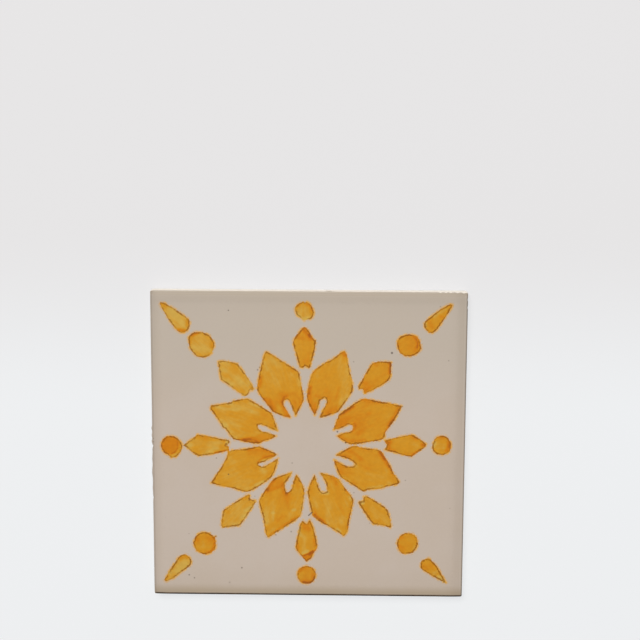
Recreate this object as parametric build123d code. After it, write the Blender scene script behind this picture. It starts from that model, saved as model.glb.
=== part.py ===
from build123d import *
import math
import os

# An azulejo: a square wall tile of pressed earthenware with a glazed face.
# It lies on its keyed back. +Z leaves the painted face, +Y is the top of the
# ornament, and the origin is the middle of the back. All sizes are in millimetres.

# The slab
FACE_SIDE = 140.0  # across the upright lands that meet the neighbours' joints
THICKNESS = 8.0  # from the back's ribs to the middle of the face
CORNER_RADIUS = 0.7  # of the square's four corners, seen from above

# The glazed edge: the face sinks a little towards its rim and turns over it
ROLL_WIDTH = 4.6  # how far in from the edge the face starts to sink
ROLL_DROP = 0.22  # how much lower the face is at its edge
ROLL_CORNER_RADIUS = 2.0  # of the sunk border's inner corners, seen from above
GLAZE_EDGE_RADIUS = 0.5  # where the glaze turns over the rim

# The pressed sides: an upright land, then a draft that lets the die go
LAND_DEPTH = 4.2  # from the middle of the face to the foot of the land
SIDE_DRAFT = 4.0  # degrees, from the land's foot to the back
BACK_ARRIS_RADIUS = 0.5  # of the outer edge of the back

# The back: a rim round a field of shallow pockets, with ribs between them
RIM_WIDTH = 6.5  # from the edge of the back to the first pockets
POCKETS_PER_SIDE = 6
RIB_WIDTH = 2.6  # the flat top of each rib
POCKET_DEPTH = 0.9
POCKET_DRAFT = 35.0  # degrees, of the pockets' sloping walls
POCKET_CORNER_RADIUS = 1.8  # at the pockets' mouths

# Worked out from the sizes above
land_foot = THICKNESS - LAND_DEPTH
back_side = FACE_SIDE - 2 * land_foot * math.tan(math.radians(SIDE_DRAFT))
field_side = back_side - 2 * RIM_WIDTH
pocket_pitch = (field_side + RIB_WIDTH) / POCKETS_PER_SIDE
pocket_mouth = pocket_pitch - RIB_WIDTH


def pressed_slab():
    """The upright land as a prism, and under it the drafted part down to the back."""
    plan = RectangleRounded(FACE_SIDE, FACE_SIDE, CORNER_RADIUS)
    at_land_foot = Plane.XY.offset(land_foot) * plan
    land = extrude(at_land_foot, amount=LAND_DEPTH)
    drafted = extrude(at_land_foot, amount=-land_foot, taper=SIDE_DRAFT)
    slab = land + drafted
    back_edges = slab.faces().sort_by(Axis.Z)[0].edges()
    return fillet(back_edges, BACK_ARRIS_RADIUS)


def roll_section():
    """What the glaze's roll leaves open, in section: x is the way out from the middle
    of the roll's inner corner and y is height. Its floor is an arc that leaves the
    face level and has sunk by ROLL_DROP at ROLL_WIDTH. It runs on past the corners."""
    arc_radius = (ROLL_WIDTH**2 + ROLL_DROP**2) / (2 * ROLL_DROP)
    run = 2 * (ROLL_WIDTH + ROLL_CORNER_RADIUS)
    turn = math.degrees(math.asin(run / arc_radius))
    centre = (ROLL_CORNER_RADIUS, THICKNESS - arc_radius)
    floor = CenterArc(centre, arc_radius, 90 - turn, turn)
    open_side = Polyline(
        floor @ 0,
        ((floor @ 0).X, THICKNESS + ROLL_DROP),
        (ROLL_CORNER_RADIUS, THICKNESS + ROLL_DROP),
        floor @ 1,
    )
    return make_face([floor, open_side])


def glazed_edge(slab):
    """Sinks the face towards its rim, on four straight stretches joined by quarter
    turns, and then rounds the rim that is left."""
    corner = FACE_SIDE / 2 - ROLL_WIDTH - ROLL_CORNER_RADIUS
    section = Plane.XZ * roll_section()
    straight = Pos(X=corner) * extrude(section, amount=corner, both=True)
    turn = Pos(X=corner, Y=corner) * revolve(section, Axis.Z, 90)
    for side in range(4):
        slab -= Rot(Z=90 * side) * (straight + turn)
    return fillet(face_rim(slab), GLAZE_EDGE_RADIUS)


def face_rim(slab):
    """The edges that the sunk face shares with the upright sides."""
    upright = slab.faces().filter_by(lambda face: abs(face.normal_at().Z) < 0.5)
    land_tops = [face.edges().sort_by(Axis.Z)[-1] for face in upright]
    return [edge for edge in land_tops if edge.center().Z > land_foot + LAND_DEPTH / 2]


def keyed_back(slab):
    """Presses the field of pockets that the bedding mortar keys into."""
    mouth = RectangleRounded(pocket_mouth, pocket_mouth, POCKET_CORNER_RADIUS)
    pocket = extrude(mouth, amount=POCKET_DEPTH, taper=POCKET_DRAFT)
    grid = GridLocations(
        pocket_pitch, pocket_pitch, POCKETS_PER_SIDE, POCKETS_PER_SIDE
    )
    return slab - [place * pocket for place in grid]


def tile():
    return keyed_back(glazed_edge(pressed_slab()))


os.makedirs("parts", exist_ok=True)
export_step(tile(), "parts/tile.step")
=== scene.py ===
# %% [markdown]
# # A painted azulejo tile
# An azulejo is a wall tile of pressed earthenware. Its face wears an opaque tin glaze, and
# on that glaze a painter brushed an ornament through a cut stencil before the last firing.
# This lesson takes the plain slab from the CAD frame and gives it its looks: the soft
# glazed edge, the ochre brushwork, and the bare clay of its sides and back.

# %% Load the frame
import math

import bpy
import numpy as np
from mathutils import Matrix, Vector


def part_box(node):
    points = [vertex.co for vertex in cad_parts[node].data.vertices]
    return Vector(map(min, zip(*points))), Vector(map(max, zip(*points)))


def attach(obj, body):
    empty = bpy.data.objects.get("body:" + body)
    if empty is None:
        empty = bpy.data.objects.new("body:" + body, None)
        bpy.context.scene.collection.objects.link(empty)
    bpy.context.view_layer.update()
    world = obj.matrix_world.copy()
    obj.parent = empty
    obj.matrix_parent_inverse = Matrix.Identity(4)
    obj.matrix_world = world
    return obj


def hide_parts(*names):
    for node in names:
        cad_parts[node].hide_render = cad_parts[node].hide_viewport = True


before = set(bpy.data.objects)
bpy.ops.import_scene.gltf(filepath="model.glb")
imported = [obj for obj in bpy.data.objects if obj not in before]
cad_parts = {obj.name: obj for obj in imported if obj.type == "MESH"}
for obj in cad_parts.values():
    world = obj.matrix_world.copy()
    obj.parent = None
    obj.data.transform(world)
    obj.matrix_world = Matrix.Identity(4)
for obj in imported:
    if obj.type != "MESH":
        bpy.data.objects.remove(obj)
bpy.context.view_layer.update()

MM = 0.001  # the drawing below is in millimetres, and Blender's scene is in metres
low, high = (np.array(corner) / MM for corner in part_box("tile"))
HALF_SIDE = (high[0] - low[0]) / 2
THICKNESS = high[2] - low[2]
print("tile", 2 * HALF_SIDE, "mm square and", THICKNESS, "mm thick")

# %% [markdown]
# ## The stencil's openings
# Each list is the outline of one opening, read off the tile in millimetres from its middle,
# x to the right and y up. The points stand where the edge turns, and the curve between
# them is worked out further down. The painter's hand made every petal a little different,
# so they aren't copies of one shape.

# %% Where the stencil lay on the slab
STENCIL_PLACE = (-0.12, 0.24)  # mm, of the ornament's middle from the face's middle
print("stencil", STENCIL_PLACE, "mm off the middle")

# %% Eight petals, each with a slit that opens towards the middle
PETALS = {
    "north_north_west": [
        (-19.5, 41.4), (-18.6, 42.7), (-17.4, 42.2), (-12.7, 39.1), (-5.8, 34.8), (-4.1, 33.0),
        (-3.7, 29.9), (-2.2, 23.0), (-2.4, 20.4), (-5.6, 13.8), (-6.9, 17.0), (-8.2, 20.4),
        (-9.2, 21.3), (-10.8, 20.9), (-11.3, 19.0), (-7.8, 12.9), (-10.6, 13.5), (-15.1, 15.3),
        (-16.6, 16.8), (-22.4, 25.0), (-22.3, 28.5), (-21.2, 34.5), (-20.1, 39.1),
    ],
    "north_north_east": [
        (16.1, 43.3), (16.7, 42.1), (17.8, 36.4), (19.3, 30.0), (19.7, 25.6), (18.6, 23.6),
        (13.7, 16.2), (12.3, 15.3), (5.3, 12.9), (6.4, 16.0), (7.2, 17.4), (8.4, 19.6), (8.2, 21.3),
        (7.4, 22.2), (5.0, 20.9), (4.6, 18.6), (3.0, 14.1), (1.2, 17.5), (-0.1, 20.6), (-0.4, 23.5),
        (0.8, 29.8), (1.7, 32.5), (2.8, 34.4), (8.1, 38.2), (10.4, 39.3), (14.6, 42.6),
    ],
    "east_north_east": [
        (41.6, 18.6), (38.3, 12.0), (35.1, 7.7), (34.2, 6.0), (34.3, 4.8), (32.7, 3.2), (27.5, 2.2),
        (19.8, 1.0), (16.6, 2.1), (13.0, 4.7), (16.0, 5.9), (18.8, 6.5), (19.9, 7.5), (20.3, 8.8),
        (19.6, 9.9), (18.0, 10.2), (14.8, 8.4), (11.5, 7.5), (13.0, 12.1), (13.9, 14.4), (17.8, 17.4),
        (23.6, 21.3), (26.7, 21.5), (30.0, 20.8), (35.4, 19.9), (38.8, 19.1),
    ],
    "east_south_east": [
        (20.3, 0.0), (23.9, -0.7), (30.5, -1.5), (32.1, -2.0), (33.5, -3.5), (37.1, -9.6),
        (38.4, -12.6), (40.6, -15.7), (40.9, -16.8), (39.8, -17.5), (36.2, -18.2), (32.5, -19.4),
        (27.5, -19.9), (25.0, -20.9), (16.6, -15.5), (14.3, -13.5), (12.0, -7.8), (11.7, -6.4),
        (17.4, -9.4), (20.3, -9.3), (21.5, -8.3), (20.0, -6.9), (18.4, -5.9), (12.7, -4.2),
        (16.6, -1.8),
    ],
    "south_south_east": [
        (2.9, -13.7), (4.0, -17.1), (5.4, -20.6), (6.8, -21.8), (8.5, -21.4), (8.9, -20.2),
        (7.8, -16.2), (5.5, -12.5), (8.3, -13.2), (13.1, -14.9), (14.5, -16.7), (20.0, -24.1),
        (20.4, -25.4), (19.3, -31.1), (18.5, -34.6), (18.2, -37.6), (17.7, -39.8), (16.3, -41.8),
        (12.0, -38.9), (9.2, -37.1), (6.9, -36.0), (2.6, -32.8), (1.9, -31.4), (0.2, -22.9),
        (0.1, -20.2),
    ],
    "south_south_west": [
        (-5.2, -13.4), (-3.0, -17.0), (-1.9, -20.0), (-1.7, -21.8), (-2.5, -27.8), (-3.0, -31.0),
        (-4.0, -33.1), (-8.1, -36.3), (-14.2, -40.3), (-17.7, -42.8), (-18.7, -41.6), (-20.0, -33.8),
        (-21.7, -27.4), (-21.7, -25.5), (-19.6, -21.5), (-15.6, -15.9), (-13.9, -14.7), (-7.2, -12.4),
        (-9.3, -15.9), (-10.5, -17.6), (-10.4, -19.8), (-9.8, -21.9), (-8.3, -21.5), (-7.1, -19.8),
        (-6.5, -16.9),
    ],
    "west_south_west": [
        (-34.1, -2.5), (-28.5, -1.8), (-24.1, -1.0), (-21.8, -0.7), (-16.3, -2.9), (-14.0, -4.2),
        (-15.0, -4.9), (-17.7, -6.2), (-20.0, -7.7), (-21.8, -8.0), (-22.7, -8.9), (-21.8, -9.6),
        (-20.0, -9.9), (-16.8, -8.3), (-13.4, -6.0), (-14.6, -10.5), (-15.8, -13.4), (-16.8, -15.0),
        (-25.3, -20.8), (-28.3, -21.4), (-34.7, -19.6), (-41.1, -18.3), (-43.6, -17.5), (-41.1, -13.7),
        (-37.2, -7.5), (-35.5, -3.5),
    ],
    "west_north_west": [
        (-27.0, 21.4), (-20.9, 17.8), (-18.2, 16.0), (-16.3, 14.5), (-13.6, 6.8), (-15.8, 7.5),
        (-19.0, 9.0), (-21.2, 9.7), (-22.5, 9.5), (-22.8, 8.8), (-22.2, 7.5), (-20.9, 6.5),
        (-17.8, 5.7), (-14.3, 4.4), (-16.2, 3.3), (-20.0, 2.0), (-22.5, 0.9), (-33.3, 2.8),
        (-34.5, 4.2), (-37.0, 7.6), (-38.1, 8.0), (-38.7, 9.5), (-40.5, 12.4), (-43.5, 16.4),
        (-43.4, 18.0), (-34.5, 19.5), (-33.3, 20.3),
    ],
}
print(len(PETALS), "petals")

# %% Eight kites, with a small fork at the end that faces the middle
KITES = {
    "north": [
        (-1.7, 53.9), (-0.5, 53.0), (2.0, 48.9), (3.3, 47.8), (2.6, 43.2), (0.5, 35.3), (-0.5, 36.0),
        (-1.4, 36.6), (-2.1, 35.7), (-3.7, 35.8), (-6.0, 44.1), (-6.6, 46.7), (-6.3, 48.3),
        (-2.8, 53.1),
    ],
    "north_east": [
        (36.7, 38.4), (32.2, 38.6), (29.9, 38.2), (28.1, 37.4), (23.3, 28.9), (22.3, 27.2),
        (22.7, 26.2), (24.3, 26.4), (25.2, 24.1), (29.5, 26.3), (35.0, 29.8), (36.3, 31.6),
        (36.5, 34.1),
    ],
    "east": [
        (34.1, 2.7), (45.9, 5.4), (47.5, 4.9), (50.7, 2.8), (52.7, 1.1), (52.2, -0.1), (48.2, -3.0),
        (46.6, -4.5), (44.3, -4.2), (34.4, -1.5), (35.1, -0.3), (35.3, 1.0),
    ],
    "south_east": [
        (25.1, -23.4), (26.6, -23.2), (34.5, -28.2), (36.1, -30.4), (37.6, -37.0), (37.4, -37.7),
        (34.0, -36.6), (29.8, -36.2), (28.1, -34.3), (24.8, -29.3), (22.9, -26.5), (23.0, -25.6),
        (25.2, -25.6),
    ],
    "south": [
        (-2.4, -34.7), (-1.4, -36.0), (-0.3, -36.5), (0.9, -34.4), (2.6, -38.8), (4.2, -46.6),
        (3.9, -48.0), (2.5, -50.1), (1.6, -52.3), (-0.6, -54.0), (-4.2, -49.4), (-5.5, -47.4),
        (-3.6, -37.6),
    ],
    "south_west": [
        (-26.8, -22.9), (-26.2, -23.3), (-26.3, -25.1), (-23.5, -25.7), (-24.0, -27.0), (-29.0, -34.7),
        (-30.8, -37.4), (-38.3, -38.4), (-39.1, -37.5), (-38.1, -30.7), (-37.0, -29.6), (-29.9, -24.7),
    ],
    "west": [
        (-55.6, -0.1), (-50.9, 3.4), (-49.3, 4.7), (-44.1, 3.8), (-35.5, 2.1), (-35.1, 1.2),
        (-37.0, -0.1), (-36.0, -0.8), (-35.7, -1.5), (-36.2, -2.5), (-41.8, -3.9), (-48.9, -5.0),
        (-50.2, -4.5),
    ],
    "north_west": [
        (-39.9, 38.2), (-37.6, 38.4), (-34.5, 37.8), (-31.5, 37.3), (-27.2, 31.2), (-24.2, 26.0),
        (-24.9, 25.2), (-25.8, 25.8), (-27.1, 23.0), (-28.4, 22.6), (-38.8, 30.1), (-39.9, 37.4),
    ],
}
print(len(KITES), "kites")

# %% Four drops that point into the corners
DROPS = {
    "north_west": [
        (-65.2, 64.5), (-63.9, 64.3), (-58.9, 61.4), (-53.3, 57.3), (-52.5, 55.8), (-52.8, 53.6),
        (-53.8, 51.8), (-55.4, 51.0), (-57.3, 51.6), (-60.2, 54.8), (-64.2, 61.4), (-65.3, 63.6),
    ],
    "north_east": [
        (63.3, 64.4), (62.4, 64.4), (61.5, 64.2), (57.7, 61.8), (51.4, 56.8), (51.1, 55.1),
        (52.0, 53.4), (53.1, 52.0), (54.7, 51.7), (56.3, 52.9), (58.1, 55.4), (61.8, 61.4),
        (62.9, 63.3),
    ],
    "south_west": [
        (-65.2, -63.5), (-62.2, -58.2), (-59.9, -54.7), (-58.5, -52.7), (-57.0, -51.6), (-55.2, -51.6),
        (-53.7, -52.7), (-52.9, -54.4), (-53.4, -56.2), (-57.2, -59.3), (-62.1, -63.0), (-64.4, -64.0),
    ],
    "south_east": [
        (62.8, -63.5), (59.6, -61.9), (52.0, -57.2), (51.3, -56.1), (51.4, -53.8), (52.2, -53.0),
        (54.7, -51.9), (58.1, -55.4), (61.6, -61.3),
    ],
}
print(len(DROPS), "drops")

# %% Eight dots: a round hole in the stencil, most of them smeared wider by the brush
ROUND_DOTS = {"south": (-0.5, -60.4, 4.15)}  # x, y, radius
SMEARED_DOTS = {
    "north_west": [
        (-53.1, 48.2), (-52.7, 49.5), (-50.7, 51.0), (-47.3, 51.2), (-43.7, 49.8), (-41.8, 46.4),
        (-42.1, 43.9), (-43.7, 41.2), (-46.3, 40.0), (-49.6, 40.6), (-52.1, 43.5), (-52.8, 46.0),
    ],
    "north_east": [
        (39.5, 48.1), (40.7, 49.8), (42.7, 50.6), (45.4, 50.8), (48.0, 49.9), (49.2, 47.8),
        (49.8, 44.6), (48.1, 42.5), (45.4, 41.3), (42.7, 41.3), (40.4, 43.2), (39.4, 46.0),
    ],
    "east": [
        (55.6, -0.2), (56.6, 3.3), (57.8, 4.6), (60.3, 5.1), (61.7, 4.6), (62.9, 3.1), (63.8, 1.5),
        (63.7, -0.4), (63.2, -2.0), (60.6, -3.5), (58.0, -3.3), (56.2, -1.9),
    ],
    "south_east": [
        (40.2, -44.8), (41.0, -43.1), (42.4, -41.1), (44.9, -40.3), (47.2, -40.7), (49.2, -42.3),
        (49.6, -45.2), (49.0, -47.2), (47.4, -49.2), (45.6, -49.7), (42.7, -49.8), (41.1, -47.7),
    ],
    "south_west": [
        (-51.9, -45.9), (-50.4, -42.5), (-47.6, -40.8), (-44.6, -41.1), (-42.4, -43.4), (-41.7, -46.6),
        (-42.2, -48.8), (-44.4, -50.5), (-47.2, -50.9), (-50.4, -49.4),
    ],
    "west": [
        (-65.8, 0.1), (-64.9, 2.2), (-63.4, 3.6), (-61.1, 3.9), (-59.1, 3.2), (-57.4, 1.6),
        (-56.5, -0.1), (-56.9, -2.4), (-58.1, -4.3), (-59.6, -5.8), (-61.4, -6.0), (-62.8, -4.6),
        (-64.3, -3.8), (-65.5, -1.9),
    ],
    "north": [
        (-3.2, 64.9), (-2.3, 65.2), (-1.9, 64.8), (-0.6, 65.0), (0.2, 64.5), (1.5, 62.9), (2.3, 60.4),
        (1.8, 58.6), (0.8, 57.6), (-0.7, 57.4), (-2.1, 56.9), (-3.2, 58.0), (-5.1, 59.3), (-5.6, 60.8),
        (-5.9, 61.9), (-5.4, 63.2),
    ],
}
print(len(ROUND_DOTS) + len(SMEARED_DOTS), "dots")

# %% Two places where colour ran or slipped past the stencil
RUNS = {
    "kite_to_petal": [
        (-36.4, -0.6), (-35.7, -0.7), (-35.5, -2.4), (-35.2, -4.0), (-35.8, -4.6), (-36.0, -2.6),
    ],
    "south_west_tick": [
        (-42.7, -43.0), (-42.2, -42.8), (-41.8, -42.7), (-41.9, -43.0), (-42.4, -43.5),
    ],
}
print(len(RUNS), "runs")

# %% [markdown]
# ## From points to soft outlines
# A stencil's edge is a smooth cut with a few sharp corners. So the curve between two points
# is a cubic that leaves and meets them in the direction of their neighbours, but at a point
# where the outline turns sharply each side keeps its own direction, which leaves a corner.

# %% Draw a curve through an outline's points
CORNER_TURN = 38.0  # degrees: a sharper turn than this is a corner
STEPS_PER_SPAN = 5


def curve_through(points):
    """Returns the closed curve through points, as STEPS_PER_SPAN places on each span.
    A span from p to q is the Hermite cubic h00 p + h10 m + h01 q + h11 n, where m and n
    are as long as the span and point from each end's neighbour to its other neighbour."""
    here = np.array(points, float)
    back, ahead = np.roll(here, 1, axis=0), np.roll(here, -1, axis=0)
    arriving, leaving = here - back, ahead - here
    turn = np.degrees(np.abs(np.angle(
        (leaving[:, 0] + 1j * leaving[:, 1]) / (arriving[:, 0] + 1j * arriving[:, 1])
    )))
    corner = (turn > CORNER_TURN)[:, None]
    across = (ahead - back) / np.linalg.norm(ahead - back, axis=1, keepdims=True)
    span = np.linalg.norm(leaving, axis=1, keepdims=True)
    start = np.where(corner, leaving, across * span)
    end = np.where(corner, arriving, across * np.roll(span, 1, axis=0))
    end = np.roll(end, -1, axis=0)
    t = np.arange(STEPS_PER_SPAN)[None, :, None] / STEPS_PER_SPAN
    curve = (
        (2 * t**3 - 3 * t**2 + 1) * here[:, None]
        + (t**3 - 2 * t**2 + t) * start[:, None]
        + (3 * t**2 - 2 * t**3) * ahead[:, None]
        + (t**3 - t**2) * end[:, None]
    )
    return curve.reshape(-1, 2)


def round_dot(x, y, radius, points=40, bulge=0.015, ripple=0.010):
    """The circle x + r cos a, y + r sin a, which a loaded brush leaves slightly uneven:
    r is the radius times 1 + bulge sin(3 a + x) + ripple sin(7 a + y)."""
    a = np.linspace(0, 2 * math.pi, points, endpoint=False)
    r = radius * (1 + bulge * np.sin(3 * a + x) + ripple * np.sin(7 * a + y))
    return np.stack([x + r * np.cos(a), y + r * np.sin(a)], axis=1)


motifs = []
for outlines in (PETALS, KITES, DROPS, SMEARED_DOTS, RUNS):
    motifs += [curve_through(points) for points in outlines.values()]
motifs += [round_dot(*dot) for dot in ROUND_DOTS.values()]
print(len(motifs), "motifs, drawn with", sum(map(len, motifs)), "short edges")

# %% [markdown]
# ## How far each place is from the paint's edge
# One number says all that the paint needs: the distance to the nearest outline, less than
# nought under the paint. A shader that cuts this number at nought draws the outline sharply
# even between the mesh's points, because the distance changes evenly from one to the next.

# %% Measure the distance to an outline
FAR = 4.0  # mm, past which the distance no longer matters


def distance_to(outline, x, y):
    """Returns the distance of (x, y) to the closed outline, negative inside. The distance
    is the least |p - (a + t (b - a))| over its edges ab, with t held to 0..1, and a place
    is inside where a ray to its right crosses the edges an odd number of times."""
    a, b = outline, np.roll(outline, -1, axis=0)
    edge = b - a
    px, py = x[:, None] - a[:, 0], y[:, None] - a[:, 1]
    t = np.clip((px * edge[:, 0] + py * edge[:, 1]) / (edge**2).sum(axis=1), 0, 1)
    distance = np.hypot(px - t * edge[:, 0], py - t * edge[:, 1]).min(axis=1)
    spans = (a[:, 1] > y[:, None]) != (b[:, 1] > y[:, None])
    rise = np.where(edge[:, 1] == 0, 1, edge[:, 1])
    crossing = spans & (px < edge[:, 0] * py / rise)
    inside = crossing.sum(axis=1) % 2 == 1
    return np.where(inside, -distance, distance)


def over_motifs(x, y):
    """Returns the distance to the nearest motif at each place, and which motif it is."""
    nearest = np.full(len(x), FAR)
    which = np.full(len(x), -1)
    for index, outline in enumerate(motifs):
        (x0, y0), (x1, y1) = outline.min(axis=0) - FAR, outline.max(axis=0) + FAR
        close = np.flatnonzero((x > x0) & (x < x1) & (y > y0) & (y < y1))
        distance = distance_to(outline, x[close], y[close])
        better = distance < nearest[close]
        nearest[close[better]] = distance[better]
        which[close[better]] = index
    return nearest, which


petal_middle = motifs[0].mean(axis=0)[:, None]
print("the first petal's middle is", over_motifs(*petal_middle)[0].round(2), "mm from its edge")

# %% [markdown]
# ## The slab's surface
# The whole tile is one closed skin. Its face is a fine square grid that carries the paint,
# rings of points take the skin over the glazed edge and down the sides, and a coarser grid
# closes the back. The grids' corners are rounded by bending their last few cells.

# %% Sizes of the slab, as in the CAD frame
CORNER_RADIUS = 0.7  # of the square's corners, seen from above
GLAZE_EDGE_RADIUS = 0.5  # where the glaze turns over the rim
ROLL_WIDTH = 4.6  # how far in from the edge the face starts to sink
ROLL_DROP = 0.22  # how much it has sunk at the edge
ROLL_CORNER_RADIUS = 2.0  # of the sunk border's inner corners
LAND_FOOT = THICKNESS - 4.2  # the height where the upright side ends
SIDE_DRAFT = math.radians(4.0)
BACK_ARRIS_RADIUS = 0.42  # just under the slab's, so that the skin's corners don't fold
RIM_WIDTH = 6.5  # from the back's edge to its pockets
POCKETS = 6
RIB_WIDTH = 2.6
POCKET_DEPTH = 0.9
POCKET_WALL = POCKET_DEPTH * math.tan(math.radians(35.0))  # seen from below
POCKET_CORNER_RADIUS = 1.8  # at the pockets' mouths

corner_centre = HALF_SIDE - CORNER_RADIUS
back_half = HALF_SIDE - LAND_FOOT * math.tan(SIDE_DRAFT)
pocket_pitch = (2 * (back_half - RIM_WIDTH) + RIB_WIDTH) / POCKETS
pocket_half = (pocket_pitch - RIB_WIDTH) / 2
print("back", round(2 * back_half, 2), "mm wide, a pocket every", round(pocket_pitch, 2), "mm")

# %% A square grid with rounded corners


def rounded_grid(lines, corner_cells, radius):
    """Returns x, y, and the outward unit direction of each point of a square grid whose
    corner blocks are bent. lines are the straight cells' places along one side. Past
    their ends lie corner_cells more. There, with s and t the shares of the way out along
    x and y, the point lies max(s, t) radius from the corner's centre, at the angle
    45 degrees times min(s, t) / max(s, t) from the nearer axis."""
    steps = np.arange(1, corner_cells + 1) / corner_cells
    flat = np.zeros(len(lines))
    share = np.concatenate([-steps[::-1], flat, steps])
    place = np.pad(lines, corner_cells, mode="edge")
    s, t = np.meshgrid(share, share)
    x, y = np.meshgrid(place, place)
    most, least = np.maximum(abs(s), abs(t)), np.minimum(abs(s), abs(t))
    angle = math.pi / 4 * least / np.maximum(most, 1e-9)
    major, minor = most * np.cos(angle), most * np.sin(angle)
    out_x = np.sign(s) * np.where(abs(s) >= abs(t), major, minor)
    out_y = np.sign(t) * np.where(abs(s) >= abs(t), minor, major)
    return x + radius * out_x, y + radius * out_y, out_x, out_y


def loop_around(cells):
    """Row and column of a grid's outer points, once around from its lowest corner."""
    run = np.arange(cells)
    rows = [0 * run, run, 0 * run + cells, cells - run]
    columns = [run, 0 * run + cells, cells - run, 0 * run]
    return np.concatenate(rows), np.concatenate(columns)


def rounded_square_distance(x, y, half, radius):
    """Distance to a rounded square, negative inside: with q = |p| - (half - radius), it
    is |max(q, 0)| + min(max(qx, qy), 0) - radius."""
    qx, qy = abs(x) - (half - radius), abs(y) - (half - radius)
    outside = np.hypot(np.maximum(qx, 0), np.maximum(qy, 0))
    return outside + np.minimum(np.maximum(qx, qy), 0) - radius


def smooth_step(low_end, high_end, value):
    """3 t^2 - 2 t^3, where t is how far value has gone from low_end to high_end."""
    t = np.clip((value - low_end) / (high_end - low_end), 0, 1)
    return t * t * (3 - 2 * t)


print("a grid with 2 straight and 4 corner cells has", rounded_grid(np.zeros(3), 2, 1)[0].shape)

# %% The face, with its sunk border, its faint swell and the raised paint
CORNER_CELLS = 4
STRAIGHT_CELLS = 248
FACE_CELLS = STRAIGHT_CELLS + 2 * CORNER_CELLS
FACE_SWELL = 0.012  # mm, how far the glaze pools up and down
SWELL_ENDS = (-6, -1)  # mm from the edge, between which the swell dies away
PAINT_BEAD = 0.02  # mm, how much thicker the glaze is where it is painted
BEAD_RISE = (0.3, -0.6)  # mm from the paint's edge, between which it thickens
rng = np.random.default_rng(14)


def swell(x, y, waves=14, longest=60.0, shortest=16.0):
    """A slow unevenness between about -1 and 1: a sum of plane waves sin(k.p + phase),
    their lengths and headings drawn once by the seeded generator."""
    total = np.zeros_like(x)
    for length, heading, phase in zip(
        rng.uniform(shortest, longest, waves),
        rng.uniform(0, math.pi, waves),
        rng.uniform(0, 2 * math.pi, waves),
    ):
        k = 2 * math.pi / length
        total += np.sin(k * (x * math.cos(heading) + y * math.sin(heading)) + phase)
    return total / math.sqrt(waves)


face_lines = np.linspace(-corner_centre, corner_centre, STRAIGHT_CELLS + 1)
face_x, face_y, out_x, out_y = rounded_grid(
    face_lines, CORNER_CELLS, CORNER_RADIUS - GLAZE_EDGE_RADIUS
)
# The ornament is measured from the stencil's middle, which lay a little off the slab's.
paint_x, paint_y = face_x.ravel() - STENCIL_PLACE[0], face_y.ravel() - STENCIL_PLACE[1]
paint_distance, motif_of = over_motifs(paint_x, paint_y)

sunk = np.maximum(rounded_square_distance(
    face_x, face_y, HALF_SIDE - ROLL_WIDTH, ROLL_CORNER_RADIUS
), 0)
roll_radius = (ROLL_WIDTH**2 + ROLL_DROP**2) / (2 * ROLL_DROP)
face_z = THICKNESS - (roll_radius - np.sqrt(roll_radius**2 - sunk**2))
from_edge = rounded_square_distance(face_x, face_y, HALF_SIDE, CORNER_RADIUS)
inner = 1 - smooth_step(*SWELL_ENDS, from_edge)
face_z += FACE_SWELL * inner * swell(face_x, face_y)
face_z += PAINT_BEAD * smooth_step(*BEAD_RISE, paint_distance).reshape(face_x.shape)
face = np.stack([face_x, face_y, face_z], axis=-1)
print("face", face.shape[:2], "painted share", round(float((paint_distance < 0).mean()), 3))

# %% The rings, from the glazed edge down to the arris of the back
rows, columns = loop_around(FACE_CELLS)
rim = face[rows, columns]
rim_out = np.stack([out_x[rows, columns], out_y[rows, columns]], axis=1)

edge_turn = np.radians([20, 42, 66, 90])  # round the glazed edge
arris_turn = np.radians([30, 60, 90])  # round the arris
LAND_RINGS = [6.4, 5.2, LAND_FOOT]  # mm, heights on the upright land
draft_top = GLAZE_EDGE_RADIUS
draft_foot = draft_top - (LAND_FOOT - BACK_ARRIS_RADIUS) * math.tan(SIDE_DRAFT)
ring_out = np.concatenate([
    GLAZE_EDGE_RADIUS * np.sin(edge_turn),
    [draft_top] * len(LAND_RINGS),
    [(draft_top + draft_foot) / 2, draft_foot],
    draft_foot - BACK_ARRIS_RADIUS * (1 - np.cos(arris_turn)),
])
# Each ring's height is a fall from the rim for the first ones, then a fixed height.
edge_fall = GLAZE_EDGE_RADIUS * (1 - np.cos(edge_turn))
fixed_height = np.concatenate([
    LAND_RINGS,
    [(LAND_FOOT + BACK_ARRIS_RADIUS) / 2, BACK_ARRIS_RADIUS],
    BACK_ARRIS_RADIUS * (1 - np.sin(arris_turn)),
])
ring_height = np.concatenate([
    rim[None, :, 2] - edge_fall[:, None],
    np.repeat(fixed_height[:, None], len(rim), axis=1),
])

# Nubs of glaze and small chips along the edges. For each side, by its way out: the place
# along it, the width, and how far the glaze stands proud or has chipped back, all in mm.
EDGE_MARKS = {
    (-1, 0): [
        (7.6, 0.9, 0.32), (4.4, 1.0, 0.25), (1.6, 0.8, 0.30), (-0.6, 0.5, -0.45),
        (-6.5, 1.5, 0.18), (-12.5, 2.4, 0.28), (-20.0, 1.6, 0.15), (-24.5, 0.7, -0.20),
    ],
    (0, 1): [
        (9.0, 1.3, 0.30), (57.8, 0.6, -0.25), (60.2, 0.5, -0.30), (62.4, 0.6, -0.25),
        (65.4, 0.6, -0.35), (68.1, 0.9, -0.45),
    ],
    (1, 0): [(66.8, 0.5, -0.20), (63.3, 0.5, -0.20)],
}
MARK_RISE = (5.0, 6.8)  # mm high, between which a mark grows out of the land
bulge = np.zeros(len(rim))
for side, marks in EDGE_MARKS.items():
    along = rim[:, :2] @ np.abs(side[::-1])
    on_side = rim_out @ side > 0.9
    for at, width, out in marks:
        bulge += on_side * out * np.exp(-(((along - at) / width) ** 2))
bulge_at_height = smooth_step(*MARK_RISE, ring_height)
rings = np.empty((len(ring_out), len(rim), 3))
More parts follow.
